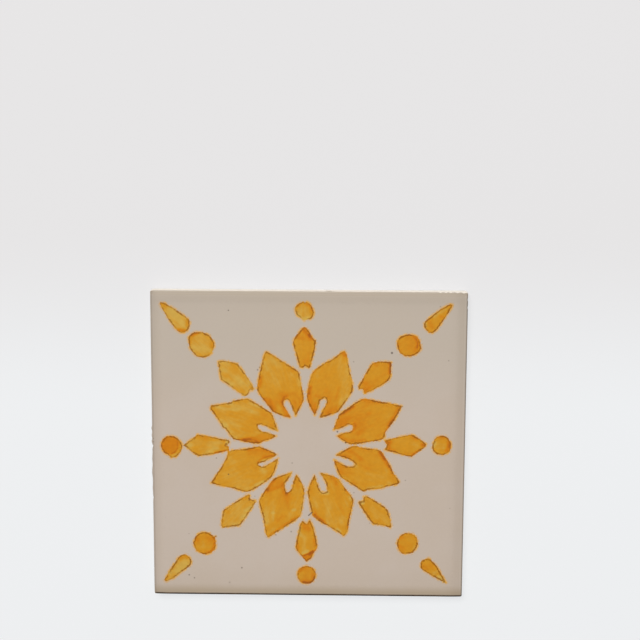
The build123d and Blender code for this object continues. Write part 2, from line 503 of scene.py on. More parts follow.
rings[..., :2] = rim[:, :2] + (ring_out[:, None] + bulge * bulge_at_height)[..., None] * rim_out
rings[..., 2] = ring_height
print(len(ring_out), "rings of", len(rim), "points")

# %% The back, with the pockets that the mortar keys into
WALL_EASE = 0.4  # how much of a pocket wall's fall is eased
BACK_CORNER_CELLS = CORNER_CELLS // 2
BACK_CELLS = FACE_CELLS // 2
BACK_CORNER_RADIUS = 0.4
BACK_INSET = 0.2  # mm, from the last ring in to the grid's outer row
back_centre = rim[:, 0].max() + ring_out[-1] - BACK_INSET - BACK_CORNER_RADIUS
# One pocket's grid lines, from its middle: dense where its wall and corners bend
half_lines = np.array([
    2.6, 5.2, pocket_half - POCKET_CORNER_RADIUS, pocket_half - POCKET_WALL - 0.5,
    pocket_half - POCKET_WALL, pocket_half - POCKET_WALL / 2, pocket_half, pocket_half + 0.3,
])
pocket_lines = np.concatenate([-half_lines[::-1], [0.0], half_lines, [pocket_pitch / 2]])
pocket_middles = (np.arange(POCKETS) - (POCKETS - 1) / 2) * pocket_pitch
field_edge = POCKETS * pocket_pitch / 2
field_lines = (pocket_middles[:, None] + pocket_lines).ravel()
spare = BACK_CELLS - 2 * BACK_CORNER_CELLS - len(field_lines)
rim_lines = np.linspace(field_edge, back_centre, spare // 2 + 1)
back_lines = np.concatenate([-rim_lines[::-1], field_lines[:-1], rim_lines])
back_x, back_y, *_ = rounded_grid(back_lines, BACK_CORNER_CELLS, BACK_CORNER_RADIUS)
# The outer row is spaced like every second point of the rings, which it joins.
even_lines = np.linspace(-back_centre, back_centre, STRAIGHT_CELLS // 2 + 1)
even_x, even_y, *_ = rounded_grid(even_lines, BACK_CORNER_CELLS, BACK_CORNER_RADIUS)
back_rows, back_columns = loop_around(BACK_CELLS)
back_x[back_rows, back_columns] = even_x[back_rows, back_columns]
back_y[back_rows, back_columns] = even_y[back_rows, back_columns]


def pocket_relief(x, y):
    """Depth of the pockets at each place: it grows by POCKET_DEPTH over POCKET_WALL in
    from the mouth of the rounded square, and WALL_EASE of it eases in and out of the
    slope as 3 t^2 - 2 t^3."""
    dx, dy = (
        way - pocket_middles[np.abs(way[..., None] - pocket_middles).argmin(axis=-1)]
        for way in (x, y)
    )
    inside = -rounded_square_distance(dx, dy, pocket_half, POCKET_CORNER_RADIUS)
    share = np.clip(inside / POCKET_WALL, 0, 1)
    eased = share * share * (3 - 2 * share)
    return POCKET_DEPTH * ((1 - WALL_EASE) * share + WALL_EASE * eased)


back = np.stack([back_x, back_y, pocket_relief(back_x, back_y)], axis=-1)
print("back", back.shape[:2], "deepest", round(float(back[..., 2].max()), 3), "mm")

# %% [markdown]
# ## One closed mesh
# The three parts share their points, so no seam can open. Each face of the mesh also gets
# its place on a flat picture of the tile, the face large and the sides and back beside it.

# %% Number the points and list the faces
points = np.concatenate([face.reshape(-1, 3), rings.reshape(-1, 3), back.reshape(-1, 3)])
face_index = np.arange(face.shape[0] * face.shape[1]).reshape(face.shape[:2])
ring_index = face_index.size + np.arange(rings[..., 0].size).reshape(rings.shape[:2])
back_index = face_index.size + ring_index.size + np.arange(back[..., 0].size)
back_index = back_index.reshape(back.shape[:2])


def grid_quads(index):
    """Four corners of each cell of a grid of point numbers, counter-clockwise."""
    return np.stack(
        [index[:-1, :-1], index[:-1, 1:], index[1:, 1:], index[1:, :-1]], axis=-1
    ).reshape(-1, 4)


walls = np.concatenate([face_index[rows, columns][None], ring_index])
walls = np.concatenate([walls, walls[:, :1]], axis=1)
face_quads = grid_quads(face_index)
wall_quads = grid_quads(walls)[:, ::-1]
back_quads = grid_quads(back_index)[:, ::-1]
last, coarse = ring_index[-1], back_index[back_rows, back_columns]
start, middle, end = last[0::2], last[1::2], np.roll(last[0::2], -1)
coarse_end = np.roll(coarse, -1)
seam = np.concatenate([
    np.stack([start, coarse, middle], axis=1),
    np.stack([middle, coarse, coarse_end], axis=1),
    np.stack([middle, coarse_end, end], axis=1),
])
quads = np.concatenate([face_quads, wall_quads, back_quads])
print("triangles", 2 * len(quads) + len(seam))

# %% Build it in Blender


def add_object(name, data):
    """Puts a new object with this data into the scene."""
    made = bpy.data.objects.new(name, data)
    bpy.context.scene.collection.objects.link(made)
    return made


corners = np.concatenate([quads.ravel(), seam.ravel()])
sizes = np.concatenate([np.full(len(quads), 4), np.full(len(seam), 3)])
starts = np.concatenate([[0], np.cumsum(sizes)[:-1]])
mesh = bpy.data.meshes.new("azulejo_tile")
mesh.vertices.add(len(points))
mesh.vertices.foreach_set("co", (points * MM).astype(np.float32).ravel())
mesh.loops.add(len(corners))
mesh.loops.foreach_set("vertex_index", corners.astype(np.int32))
mesh.polygons.add(len(sizes))
mesh.polygons.foreach_set("loop_start", starts.astype(np.int32))
mesh.polygons.foreach_set("loop_total", sizes.astype(np.int32))
mesh.polygons.foreach_set("use_smooth", np.ones(len(sizes), bool))
mesh.update(calc_edges=True)
mesh.validate()
tile = add_object("azulejo_tile", mesh)
print("mesh of", len(mesh.vertices), "points and", len(mesh.polygons), "faces")

# %% Lay out the picture that the finish can be baked on
FACE_SHARE = 0.74  # of the picture's width, for the face
STRIP = 0.055  # of its height, for each side
GAP = 0.008  # between the parts
span = points[corners][:, :2] / (2 * HALF_SIDE) + 0.5
u, v = (GAP + FACE_SHARE * span).T
first_wall, first_back = 4 * len(face_quads), 4 * (len(face_quads) + len(wall_quads))
level, post = np.divmod(np.arange(len(wall_quads)), len(rim))
# The walls' quads were read backwards, so their corners come in this order.
corner_level = level[:, None] + np.array([1, 1, 0, 0])
corner_post = post[:, None] + np.array([0, 1, 1, 0])
strip = post // FACE_CELLS
along = (corner_post - strip[:, None] * FACE_CELLS) / FACE_CELLS
u[first_wall:first_back] = (GAP + FACE_SHARE * along).ravel()
v[first_wall:first_back] = (
    2 * GAP + FACE_SHARE + strip[:, None] * (STRIP + GAP)
    + STRIP * (1 - corner_level / len(ring_out))
).ravel()
back_share = 1 - FACE_SHARE - 3 * GAP
u[first_back:], v[first_back:] = (1 - GAP - back_share * span[first_back:]).T
uv_map = mesh.uv_layers.new(name="OFBake")
uv_map.data.foreach_set("uv", np.stack([u, v], axis=1).astype(np.float32).ravel())
print("picture spans", u.min().round(3), u.max().round(3), v.min().round(3), v.max().round(3))

# %% [markdown]
# ## Where the brush laid more colour
# The ochre is a thin wash, so it's deeper where two strokes overlap or where it pooled
# against the stencil, and paler where the brush ran dry. Tone 0 is the plain wash, 1 a
# deep orange and -1 a pale yellow. Each motif has its own tone, and strokes add to it.

# %% The wash of each motif, in the order in which the motifs were drawn
MOTIF_TONES = {
    "petals": [0.10, 0.15, 0.35, 0.20, 0.0, -0.05, 0.0, -0.07],
    "kites": [0.15, 0.35, 0.10, -0.05, 0.05, -0.30, -0.25, -0.40],
    "drops": [-0.35, 0.20, -0.35, 0.15],
    "smeared dots": [-0.25, 0.55, 0.27, 0.35, 0.35, 0.0, -0.15],
    "runs": [0.4, 0.6],
    "round dots": [0.45],
}
print(sum(map(len, MOTIF_TONES.values())), "tones for", len(motifs), "motifs")

# %% Strokes over the petals: half width in mm, how much tone each adds, and its path
PETAL_STROKES = {
    "north_north_west": [
        (0.9, 0.9, (-21.2, 31.5), (-21.6, 26.8)),
        (1.2, 1.2, (-19.4, 21.0), (-16.8, 18.0), (-15.8, 15.8)),
        (2.4, 0.2, (-19.5, 22.5), (-15.0, 16.8)),
        (0.8, 1.3, (-11.4, 20.2), (-10.7, 22.2), (-9.6, 22.6)), (1.4, 0.9, (-11.4, 19.0), (-8.8, 14.2)),
        (0.6, 0.9, (-10.2, 13.8), (-8.4, 13.4)), (1.6, 0.4, (-7.2, 21.0), (-5.4, 14.8)),
        (2.0, 0.4, (-12.6, 22.4), (-15.0, 18.0)), (1.2, 0.4, (-5.6, 24.0), (-4.0, 20.0)),
        (0.8, 0.5, (-2.8, 25.0), (-3.0, 20.0), (-4.4, 17.0)), (5.0, -0.3, (-16.9, 34.9), (-14.2, 29.7)),
        (0.9, -0.3, (-19.2, 38.0), (-18.2, 34.6)), (0.9, -0.5, (-4.3, 30.2), (-3.7, 28.0)),
        (1.0, -0.3, (-7.4, 32.6), (-6.2, 31.6)), (1.0, -0.3, (-20.9, 26.0), (-19.0, 22.9)),
        (1.0, -0.4, (-13.2, 18.2), (-12.4, 17.0)), (0.7, 0.4, (-8.4, 34.9), (-6.8, 34.0)),
        (0.7, 0.35, (-20.9, 31.4), (-20.7, 28.6)), (0.8, 0.7, (-16.9, 20.8), (-16.4, 20.1)),
        (1.3, 0.45, (-12.2, 24.0), (-7.8, 23.8)), (0.8, 0.4, (-5.9, 19.8), (-5.6, 17.8)),
        (2.0, -0.4, (-16.4, 39.0), (-13.2, 36.4)),
    ],
    "north_north_east": [
        (0.9, 1.1, (15.2, 42.4), (16.4, 41.4)), (1.0, 0.3, (15.6, 40.8), (16.4, 36.0)),
        (0.9, 1.4, (0.9, 26.8), (0.5, 24.2)), (1.2, 0.9, (0.3, 23.0), (1.2, 18.8), (2.8, 15.8)),
        (0.7, 0.7, (3.2, 19.4), (3.0, 15.8)), (0.8, 0.5, (3.6, 22.8), (5.4, 22.3)),
        (2.0, 0.4, (9.0, 24.6), (11.4, 22.4)), (0.9, 0.4, (13.5, 26.6), (12.7, 20.4)),
        (1.8, 0.35, (9.8, 19.5), (7.2, 14.4)), (1.1, 0.5, (9.2, 15.2), (12.6, 16.7)),
        (1.7, -0.65, (14.8, 19.6), (17.2, 22.8)), (1.9, -0.35, (16.8, 37.0), (17.8, 26.5)),
        (0.8, 0.2, (17.8, 31.5), (18.2, 27.5)), (2.0, -0.3, (14.6, 39.6), (11.6, 37.4)),
        (0.8, -0.1, (8.2, 36.4), (8.2, 35.0)), (0.7, -0.5, (5.2, 36.0), (6.8, 36.8)),
        (1.0, 0.3, (16.0, 35.0), (16.0, 32.8)), (1.2, -0.3, (3.0, 32.4), (4.6, 31.2)),
        (0.7, 0.1, (1.5, 29.8), (1.2, 28.2)), (0.7, 0.5, (2.2, 33.5), (3.8, 35.0), (6.2, 36.5)),
        (1.0, 0.3, (5.4, 29.6), (7.6, 31.8)), (3.0, -0.25, (14.6, 36.0), (15.6, 30.0)),
        (2.2, -0.2, (12.8, 22.6), (16.0, 26.6)), (1.2, 0.5, (12.6, 18.4), (8.4, 14.8)),
        (0.7, -0.5, (4.8, 34.8), (4.0, 34.2)), (0.7, 0.5, (8.2, 22.8), (9.0, 22.2)),
    ],
    "east_north_east": [
        (0.9, 0.8, (13.4, 9.2), (16.8, 10.6)), (1.3, 0.6, (13.8, 11.6), (17.8, 12.6)),
        (0.8, 0.8, (15.4, 15.0), (16.6, 15.8), (20.2, 18.0)), (0.5, 0.8, (20.8, 10.6), (21.4, 9.0)),
        (0.5, 0.9, (19.8, 7.0), (20.9, 8.0)), (2.4, 0.3, (21.0, 8.6), (24.0, 9.8)),
        (0.7, 0.6, (40.6, 18.2), (39.0, 15.4), (37.6, 12.4), (35.8, 9.6)),
        (0.5, 1.0, (38.2, 12.6), (36.4, 10.0), (34.9, 7.4), (34.6, 5.4)),
        (0.5, 0.6, (14.6, 14.0), (17.4, 16.2), (20.0, 18.2)), (0.9, 0.5, (13.6, 4.5), (22.0, 1.8)),
        (0.8, 0.6, (24.0, 21.3), (31.0, 20.2)), (1.2, 0.4, (22.4, 5.5), (24.6, 6.7)),
        (1.0, 0.3, (23.8, 14.1), (27.2, 14.9)), (1.1, -0.3, (26.4, 4.0), (29.0, 3.7)),
        (1.8, -0.25, (28.0, 18.5), (37.0, 16.5)), (1.6, -0.35, (33.4, 13.3), (35.8, 13.6)),
        (1.4, -0.2, (25.0, 5.8), (31.0, 6.4)), (0.8, -0.4, (17.2, 4.6), (18.6, 3.3)),
        (0.8, 0.5, (23.0, 2.5), (25.4, 3.0)), (0.7, -0.5, (21.0, 1.4), (22.4, 1.4)),
        (1.4, 0.25, (19.4, 13.2), (22.0, 13.4)), (1.1, 0.3, (26.0, 19.2), (28.6, 19.0)),
        (0.5, 0.5, (20.4, 10.2), (20.8, 8.8)), (0.8, 0.4, (37.4, 13.0), (36.2, 10.8)),
    ],
    "east_south_east": [
        (1.3, 0.3, (14.2, -3.8), (20.4, -0.8)), (1.0, 0.6, (17.6, -1.7), (21.5, -3.8), (23.8, -5.9)),
        (0.8, 0.7, (16.2, -4.6), (18.8, -5.0)), (0.9, 1.3, (32.2, -2.9), (33.9, -5.4)),
        (0.4, 0.9, (32.0, -2.4), (34.2, -5.2), (36.9, -10.0), (37.9, -11.6)),
        (0.9, 0.9, (34.2, -6.4), (36.4, -9.4)), (0.6, 0.3, (36.6, -10.2), (38.0, -12.6)),
        (1.0, 0.2, (15.4, -9.8), (18.8, -10.7)), (1.0, 0.2, (14.8, -12.2), (20.0, -12.6)),
        (1.4, 0.3, (12.8, -7.6), (14.8, -12.6)), (0.6, 0.9, (12.2, -7.4), (12.8, -6.8)),
        (1.0, 0.5, (20.0, -16.3), (21.6, -17.5)), (1.8, -0.25, (22.5, -15.0), (36.0, -15.9)),
        (1.0, 0.3, (23.0, -9.0), (27.0, -10.4)), (0.9, 0.2, (22.8, -1.1), (28.8, -2.3)),
        (0.8, -0.45, (20.2, -9.0), (21.8, -9.0)), (0.8, 0.35, (13.8, -4.6), (15.2, -4.6)),
        (0.7, -0.4, (35.0, -10.6), (35.4, -12.0)), (1.0, -0.35, (31.0, -5.8), (33.4, -7.2)),
        (1.0, -0.4, (26.5, -12.6), (35.0, -13.8)), (0.8, -0.5, (15.8, -14.0), (19.2, -16.3)),
        (0.6, -0.6, (26.6, -19.2), (33.4, -18.3)), (1.2, -0.2, (22.0, -17.8), (25.0, -19.2)),
        (1.2, 0.2, (37.4, -12.8), (38.8, -16.2)), (1.0, -0.4, (36.2, -17.1), (37.6, -17.2)),
        (2.0, 0.25, (14.4, -10.6), (17.0, -13.6)),
    ],
    "south_south_east": [
        (0.9, 0.7, (10.8, -14.8), (12.0, -15.2), (12.9, -17.5)),
        (0.7, 0.6, (16.6, -20.2), (18.2, -22.4)), (0.7, 0.6, (19.6, -26.2), (18.9, -28.9)),
        (0.7, 0.7, (2.7, -29.2), (3.7, -31.4)), (0.9, 1.0, (3.0, -32.1), (6.4, -34.8)),
        (1.0, 0.2, (16.9, -37.4), (16.2, -39.2)), (0.8, 0.35, (12.8, -24.4), (16.2, -31.4)),
        (3.0, 0.25, (10.6, -16.0), (15.2, -23.4)), (1.0, 0.4, (2.2, -16.6), (1.0, -21.4)),
        (0.7, 0.4, (8.0, -13.8), (7.8, -14.8)), (1.2, -0.4, (8.2, -24.6), (9.6, -29.0), (8.8, -32.6)),
        (0.8, -0.5, (8.6, -34.8), (9.2, -36.0)), (0.9, -1.2, (6.4, -21.6), (8.8, -21.8)),
        (0.7, -0.7, (18.4, -23.4), (19.3, -24.6)), (0.7, -0.4, (10.4, -17.6), (11.9, -20.2)),
        (0.7, -0.9, (13.2, -38.7), (14.6, -39.7)), (1.0, -0.35, (15.0, -33.0), (15.2, -35.4)),
        (1.4, -0.4, (3.4, -24.0), (4.0, -28.0)), (0.5, 1.1, (2.6, -31.8), (6.8, -35.0), (8.0, -35.9)),
        (0.5, 0.8, (18.9, -31.6), (17.9, -37.8)), (0.8, -0.35, (16.2, -21.2), (17.4, -22.6)),
    ],
    "south_south_west": [
        (0.8, 1.1, (-18.2, -20.6), (-16.6, -17.6), (-15.3, -16.3)),
        (0.7, 1.1, (-11.3, -17.6), (-10.9, -21.6), (-9.6, -22.7)),
        (1.1, 0.5, (-17.6, -21.0), (-15.6, -20.2), (-12.0, -19.0)),
        (1.8, 0.4, (-10.6, -23.6), (-7.4, -24.3)), (0.8, 0.3, (-20.3, -25.3), (-20.2, -28.8)),
        (1.2, 0.3, (-18.6, -38.6), (-17.0, -37.2)), (1.3, 0.4, (-13.7, -34.8), (-11.3, -33.0)),
        (1.0, 0.6, (-5.0, -16.0), (-4.6, -19.0)), (2.4, 0.3, (-18.2, -20.8), (-11.8, -15.2)),
        (0.6, 0.8, (-4.4, -32.7), (-7.0, -34.4)), (0.45, 0.9, (-6.8, -34.3), (-17.2, -41.6)),
        (0.7, 0.4, (-10.0, -14.4), (-9.3, -15.2)), (1.1, 0.25, (-18.8, -22.4), (-16.0, -24.4)),
        (1.8, -0.25, (-15.6, -25.6), (-14.8, -30.0)), (1.2, -0.15, (-6.6, -26.2), (-5.0, -28.2)),
        (0.6, -1.0, (-6.8, -29.9), (-5.8, -29.8)), (1.0, -0.3, (-7.8, -31.8), (-8.2, -34.4)),
        (0.8, 0.3, (-10.6, -36.2), (-11.8, -37.0)), (0.6, -0.9, (-15.8, -31.3), (-15.3, -31.4)),
        (0.7, -0.5, (-15.4, -33.0), (-15.4, -35.2)), (1.2, -0.35, (-18.6, -29.0), (-18.8, -36.0)),
        (1.4, -0.1, (-19.2, -26.6), (-18.6, -32.0)), (0.7, 0.5, (-9.4, -22.5), (-8.2, -22.4)),
        (0.8, -0.2, (-12.6, -37.8), (-15.2, -39.4)), (1.0, -0.35, (-17.4, -37.0), (-17.8, -35.6)),
        (0.8, -0.5, (-2.6, -30.0), (-2.4, -28.0)), (1.0, 0.35, (-9.6, -24.4), (-8.4, -29.4)),
    ],
    "west_south_west": [
        (0.7, 0.8, (-26.8, -2.2), (-25.0, -1.9), (-20.5, -1.9), (-17.2, -3.3)),
        (0.45, 1.2, (-22.6, -7.8), (-21.6, -6.7), (-20.2, -5.9), (-18.0, -5.2), (-15.6, -4.5)),
        (0.8, 0.6, (-20.0, -5.2), (-15.6, -4.4)), (1.7, 0.6, (-26.0, -3.8), (-20.0, -4.0)),
        (1.2, 0.6, (-24.8, -9.8), (-23.2, -10.8)), (1.1, -0.3, (-32.4, -19.0), (-27.0, -20.0)),
        (0.8, 0.6, (-25.4, -18.4), (-24.6, -18.8)), (0.9, 0.5, (-18.6, -14.2), (-17.2, -13.0)),
        (0.9, 0.2, (-15.4, -10.0), (-16.0, -11.6)),
        (0.9, 0.1, (-34.6, -4.4), (-32.6, -3.2), (-28.4, -2.2)),
        (2.2, -0.35, (-37.0, -13.5), (-34.0, -11.4)), (1.7, -0.35, (-31.0, -17.0), (-26.8, -16.4)),
        (1.4, -0.5, (-20.4, -11.3), (-19.0, -13.2)), (0.8, -0.75, (-24.8, -19.1), (-20.2, -16.9)),
        (0.7, -0.2, (-22.6, -6.9), (-22.0, -6.4)), (1.2, -0.25, (-26.4, -9.2), (-24.4, -10.4)),
        (0.6, -0.6, (-20.2, -7.0), (-18.8, -6.8)), (1.2, -0.3, (-34.6, -6.6), (-33.0, -7.6)),
    ],
    "west_north_west": [
        (0.7, 1.3, (-28.8, 2.7), (-26.5, 2.9), (-24.4, 2.4), (-22.6, 1.5)),
        (0.5, 1.1, (-31.0, 2.5), (-28.4, 2.2), (-27.4, 1.9)), (1.0, -0.8, (-38.3, 8.8), (-36.6, 9.3)),
        (1.4, 0.5, (-20.6, 15.0), (-17.2, 12.5), (-15.8, 9.0)),
        (1.2, 0.4, (-24.8, 12.6), (-20.8, 12.0)), (1.3, 0.35, (-29.0, 7.4), (-24.8, 7.4)),
        (1.4, -0.25, (-33.4, 18.4), (-30.0, 17.4), (-26.0, 16.6)),
        (0.8, -0.3, (-39.0, 11.9), (-37.2, 9.8)), (1.2, -0.4, (-36.2, 7.2), (-34.6, 6.0)),
        (1.3, -0.3, (-34.0, 9.6), (-31.5, 8.8), (-29.3, 5.4)),
        (0.8, -0.45, (-40.6, 17.5), (-37.0, 16.4), (-31.0, 16.3)),
        (0.7, -0.6, (-36.2, 18.8), (-34.2, 19.2)), (0.7, -0.5, (-33.8, 4.4), (-32.4, 3.6)),
        (0.8, -0.4, (-26.2, 19.6), (-22.0, 17.7)), (1.0, -0.45, (-25.0, 15.5), (-22.0, 14.5)),
        (0.9, 0.3, (-26.6, 11.0), (-23.8, 10.2)), (0.6, -0.5, (-24.9, 2.5), (-24.3, 2.3)),
    ],
}
print(sum(map(len, PETAL_STROKES.values())), "strokes over the petals")

# %% Strokes over the kites
KITE_STROKES = {
    "north": [
        (0.7, 1.2, (0.5, 50.6), (1.4, 48.8)), (0.8, 0.9, (-2.0, 52.8), (0.2, 49.9)),
        (1.2, 0.35, (0.2, 42.0), (-0.2, 39.0)), (1.4, 0.4, (-1.2, 38.2), (0.0, 36.2)),
        (0.7, -0.5, (-2.9, 50.7), (-2.3, 50.4)), (1.6, -0.3, (-4.6, 47.0), (-4.4, 43.0)),
    ],
    "north_east": [
        (1.0, 0.7, (25.6, 25.6), (26.8, 26.4)), (1.6, 0.1, (27.0, 28.0), (30.2, 30.0)),
        (1.0, 0.5, (24.6, 29.2), (25.8, 28.6)), (0.7, 1.8, (36.4, 38.2), (36.2, 33.6)),
        (0.7, 0.45, (29.2, 37.5), (30.4, 36.8)), (0.9, -0.2, (26.8, 34.2), (28.4, 36.5)),
        (1.2, -0.35, (30.7, 35.6), (28.4, 31.9)), (0.9, -0.2, (35.0, 31.8), (32.4, 29.9)),
        (0.8, 0.4, (25.0, 26.6), (25.6, 25.6)), (0.9, 0.4, (27.4, 27.4), (29.0, 27.6)),
    ],
    "east": [
        (0.9, 1.6, (51.0, 0.9), (52.2, 0.6)), (0.5, 0.9, (46.6, -3.9), (49.8, -1.3)),
        (0.9, 0.7, (46.4, 4.5), (48.4, 3.6)), (0.8, 1.3, (35.2, 2.0), (36.8, 2.0)),
        (0.7, 1.3, (36.0, 1.0), (36.3, -0.6)), (0.9, 0.7, (36.0, -1.3), (38.6, -2.0)),
        (0.9, 0.4, (43.6, -3.0), (47.2, -3.4)), (1.2, -0.3, (47.4, 1.2), (49.6, 0.0)),
        (0.7, -0.3, (47.4, -1.0), (48.2, -0.9)),
    ],
    "south_east": [
        (0.9, 0.4, (26.2, -29.4), (28.7, -33.6)), (0.8, 0.4, (30.0, -35.0), (32.2, -34.8)),
        (0.8, -1.2, (23.6, -26.3), (24.8, -26.2)), (1.2, -0.2, (28.8, -28.4), (31.8, -32.0)),
        (0.8, 0.2, (25.6, -24.2), (26.6, -25.0)), (1.2, -0.15, (33.6, -32.4), (36.0, -35.8)),
    ],
    "south": [
        (0.4, 1.6, (-1.9, -51.1), (0.2, -50.2), (2.2, -48.9)), (1.6, 0.8, (-1.2, -38.0), (0.4, -38.6)),
        (0.9, 0.5, (0.9, -36.0), (-2.6, -36.6)), (0.8, 0.8, (3.0, -43.6), (3.1, -46.8)),
        (0.8, 0.8, (-4.5, -45.8), (-4.4, -47.9)), (0.9, -0.6, (-3.5, -41.2), (-3.0, -41.6)),
        (1.2, -0.5, (-1.6, -43.0), (-1.4, -48.0)), (0.8, -1.4, (-1.8, -50.0), (-0.2, -49.4)),
        (0.6, 0.8, (0.8, -50.8), (2.6, -49.6)), (0.5, -1.6, (-3.6, -37.8), (-4.0, -40.2)),
    ],
    "south_west": [
        (0.8, 0.6, (-29.5, -24.9), (-26.8, -23.8)), (0.6, 0.1, (-33.5, -27.4), (-31.0, -26.8)),
        (0.8, 0.6, (-37.4, -30.0), (-36.0, -31.2)), (1.2, 0.1, (-36.6, -33.2), (-34.8, -35.0)),
        (1.5, -0.1, (-30.0, -30.0), (-27.2, -27.2)), (0.7, -0.6, (-28.4, -30.4), (-25.8, -29.0)),
        (0.7, -0.6, (-29.6, -33.5), (-28.2, -32.4)), (0.8, 0.35, (-38.4, -34.8), (-38.8, -37.2)),
        (1.0, -0.3, (-34.0, -36.6), (-32.6, -36.8)),
    ],
    "west": [
        (1.2, 0.6, (-49.6, 3.9), (-45.6, 3.0)), (0.9, 0.4, (-45.6, 3.2), (-40.0, 2.6)),
        (1.3, 0.2, (-50.6, -1.4), (-46.0, -1.2)), (1.0, 0.4, (-50.0, -3.4), (-48.6, -3.8)),
        (0.4, 2.2, (-41.6, -3.6), (-36.4, -2.4)), (0.7, -1.5, (-36.3, 1.7), (-36.1, 0.6)),
        (0.9, 0.6, (-39.0, -1.0), (-37.0, -0.6)), (0.6, 0.8, (-38.4, 2.2), (-37.0, 1.6)),
        (1.2, -0.4, (-54.6, -0.2), (-52.8, -0.4)), (0.8, -0.5, (-45.2, -3.1), (-43.4, -2.9)),
        (0.8, -0.3, (-42.4, -1.8), (-40.8, -1.6)), (1.6, -0.2, (-44.4, 0.2), (-39.6, 1.0)),
    ],
    "north_west": [
        (0.9, 0.3, (-29.6, 32.4), (-27.4, 28.4)), (0.8, 0.4, (-32.8, 26.4), (-29.0, 24.1)),
        (0.8, 0.1, (-29.7, 25.9), (-28.7, 25.4)), (0.8, 0.5, (-33.5, 37.2), (-31.6, 35.4)),
        (0.9, 0.3, (-38.0, 32.4), (-37.0, 31.6)), (0.9, -0.4, (-38.0, 34.3), (-36.6, 34.0)),
        (0.9, -0.4, (-35.6, 29.3), (-34.0, 28.1)), (1.3, -0.3, (-31.2, 31.2), (-30.0, 29.3)),
        (1.6, 0.25, (-33.6, 35.4), (-31.6, 33.6)), (1.2, 0.25, (-36.0, 31.0), (-34.0, 29.4)),
        (0.6, 0.6, (-25.8, 26.8), (-25.2, 26.4)),
    ],
}
print(sum(map(len, KITE_STROKES.values())), "strokes over the kites")

# %% Strokes over the drops and the dots
DROP_STROKES = {
    "north_west": [
        (0.8, 0.5, (-64.8, 64.2), (-63.0, 62.6)), (0.6, 1.6, (-57.4, 52.3), (-54.6, 52.0)),
        (0.7, 0.6, (-53.4, 56.6), (-53.5, 54.6)), (1.5, -0.5, (-60.0, 60.4), (-55.6, 55.6)),
    ],
    "north_east": [
        (1.3, 0.6, (53.6, 56.2), (54.4, 54.4)), (0.7, 0.5, (57.8, 59.4), (59.2, 58.8)),
        (0.9, -0.7, (55.4, 59.2), (60.6, 62.6)), (0.8, -0.9, (51.6, 56.0), (51.6, 54.6)),
    ],
    "south_west": [
        (0.8, 0.9, (-58.0, -53.2), (-56.0, -52.0), (-54.6, -52.5)),
        (0.5, 0.6, (-64.6, -63.2), (-63.4, -61.4)), (0.7, 0.4, (-61.8, -58.6), (-60.6, -57.4)),
        (1.3, -0.7, (-59.4, -58.8), (-55.6, -56.0)),
    ],
    "south_east": [
        (1.1, 0.5, (52.6, -55.8), (54.4, -57.0)), (0.8, 0.35, (55.4, -54.4), (56.6, -55.6)),
        (0.8, -0.5, (57.4, -58.8), (58.8, -58.0)), (1.0, -1.1, (59.6, -60.8), (61.4, -62.4)),
    ],
}
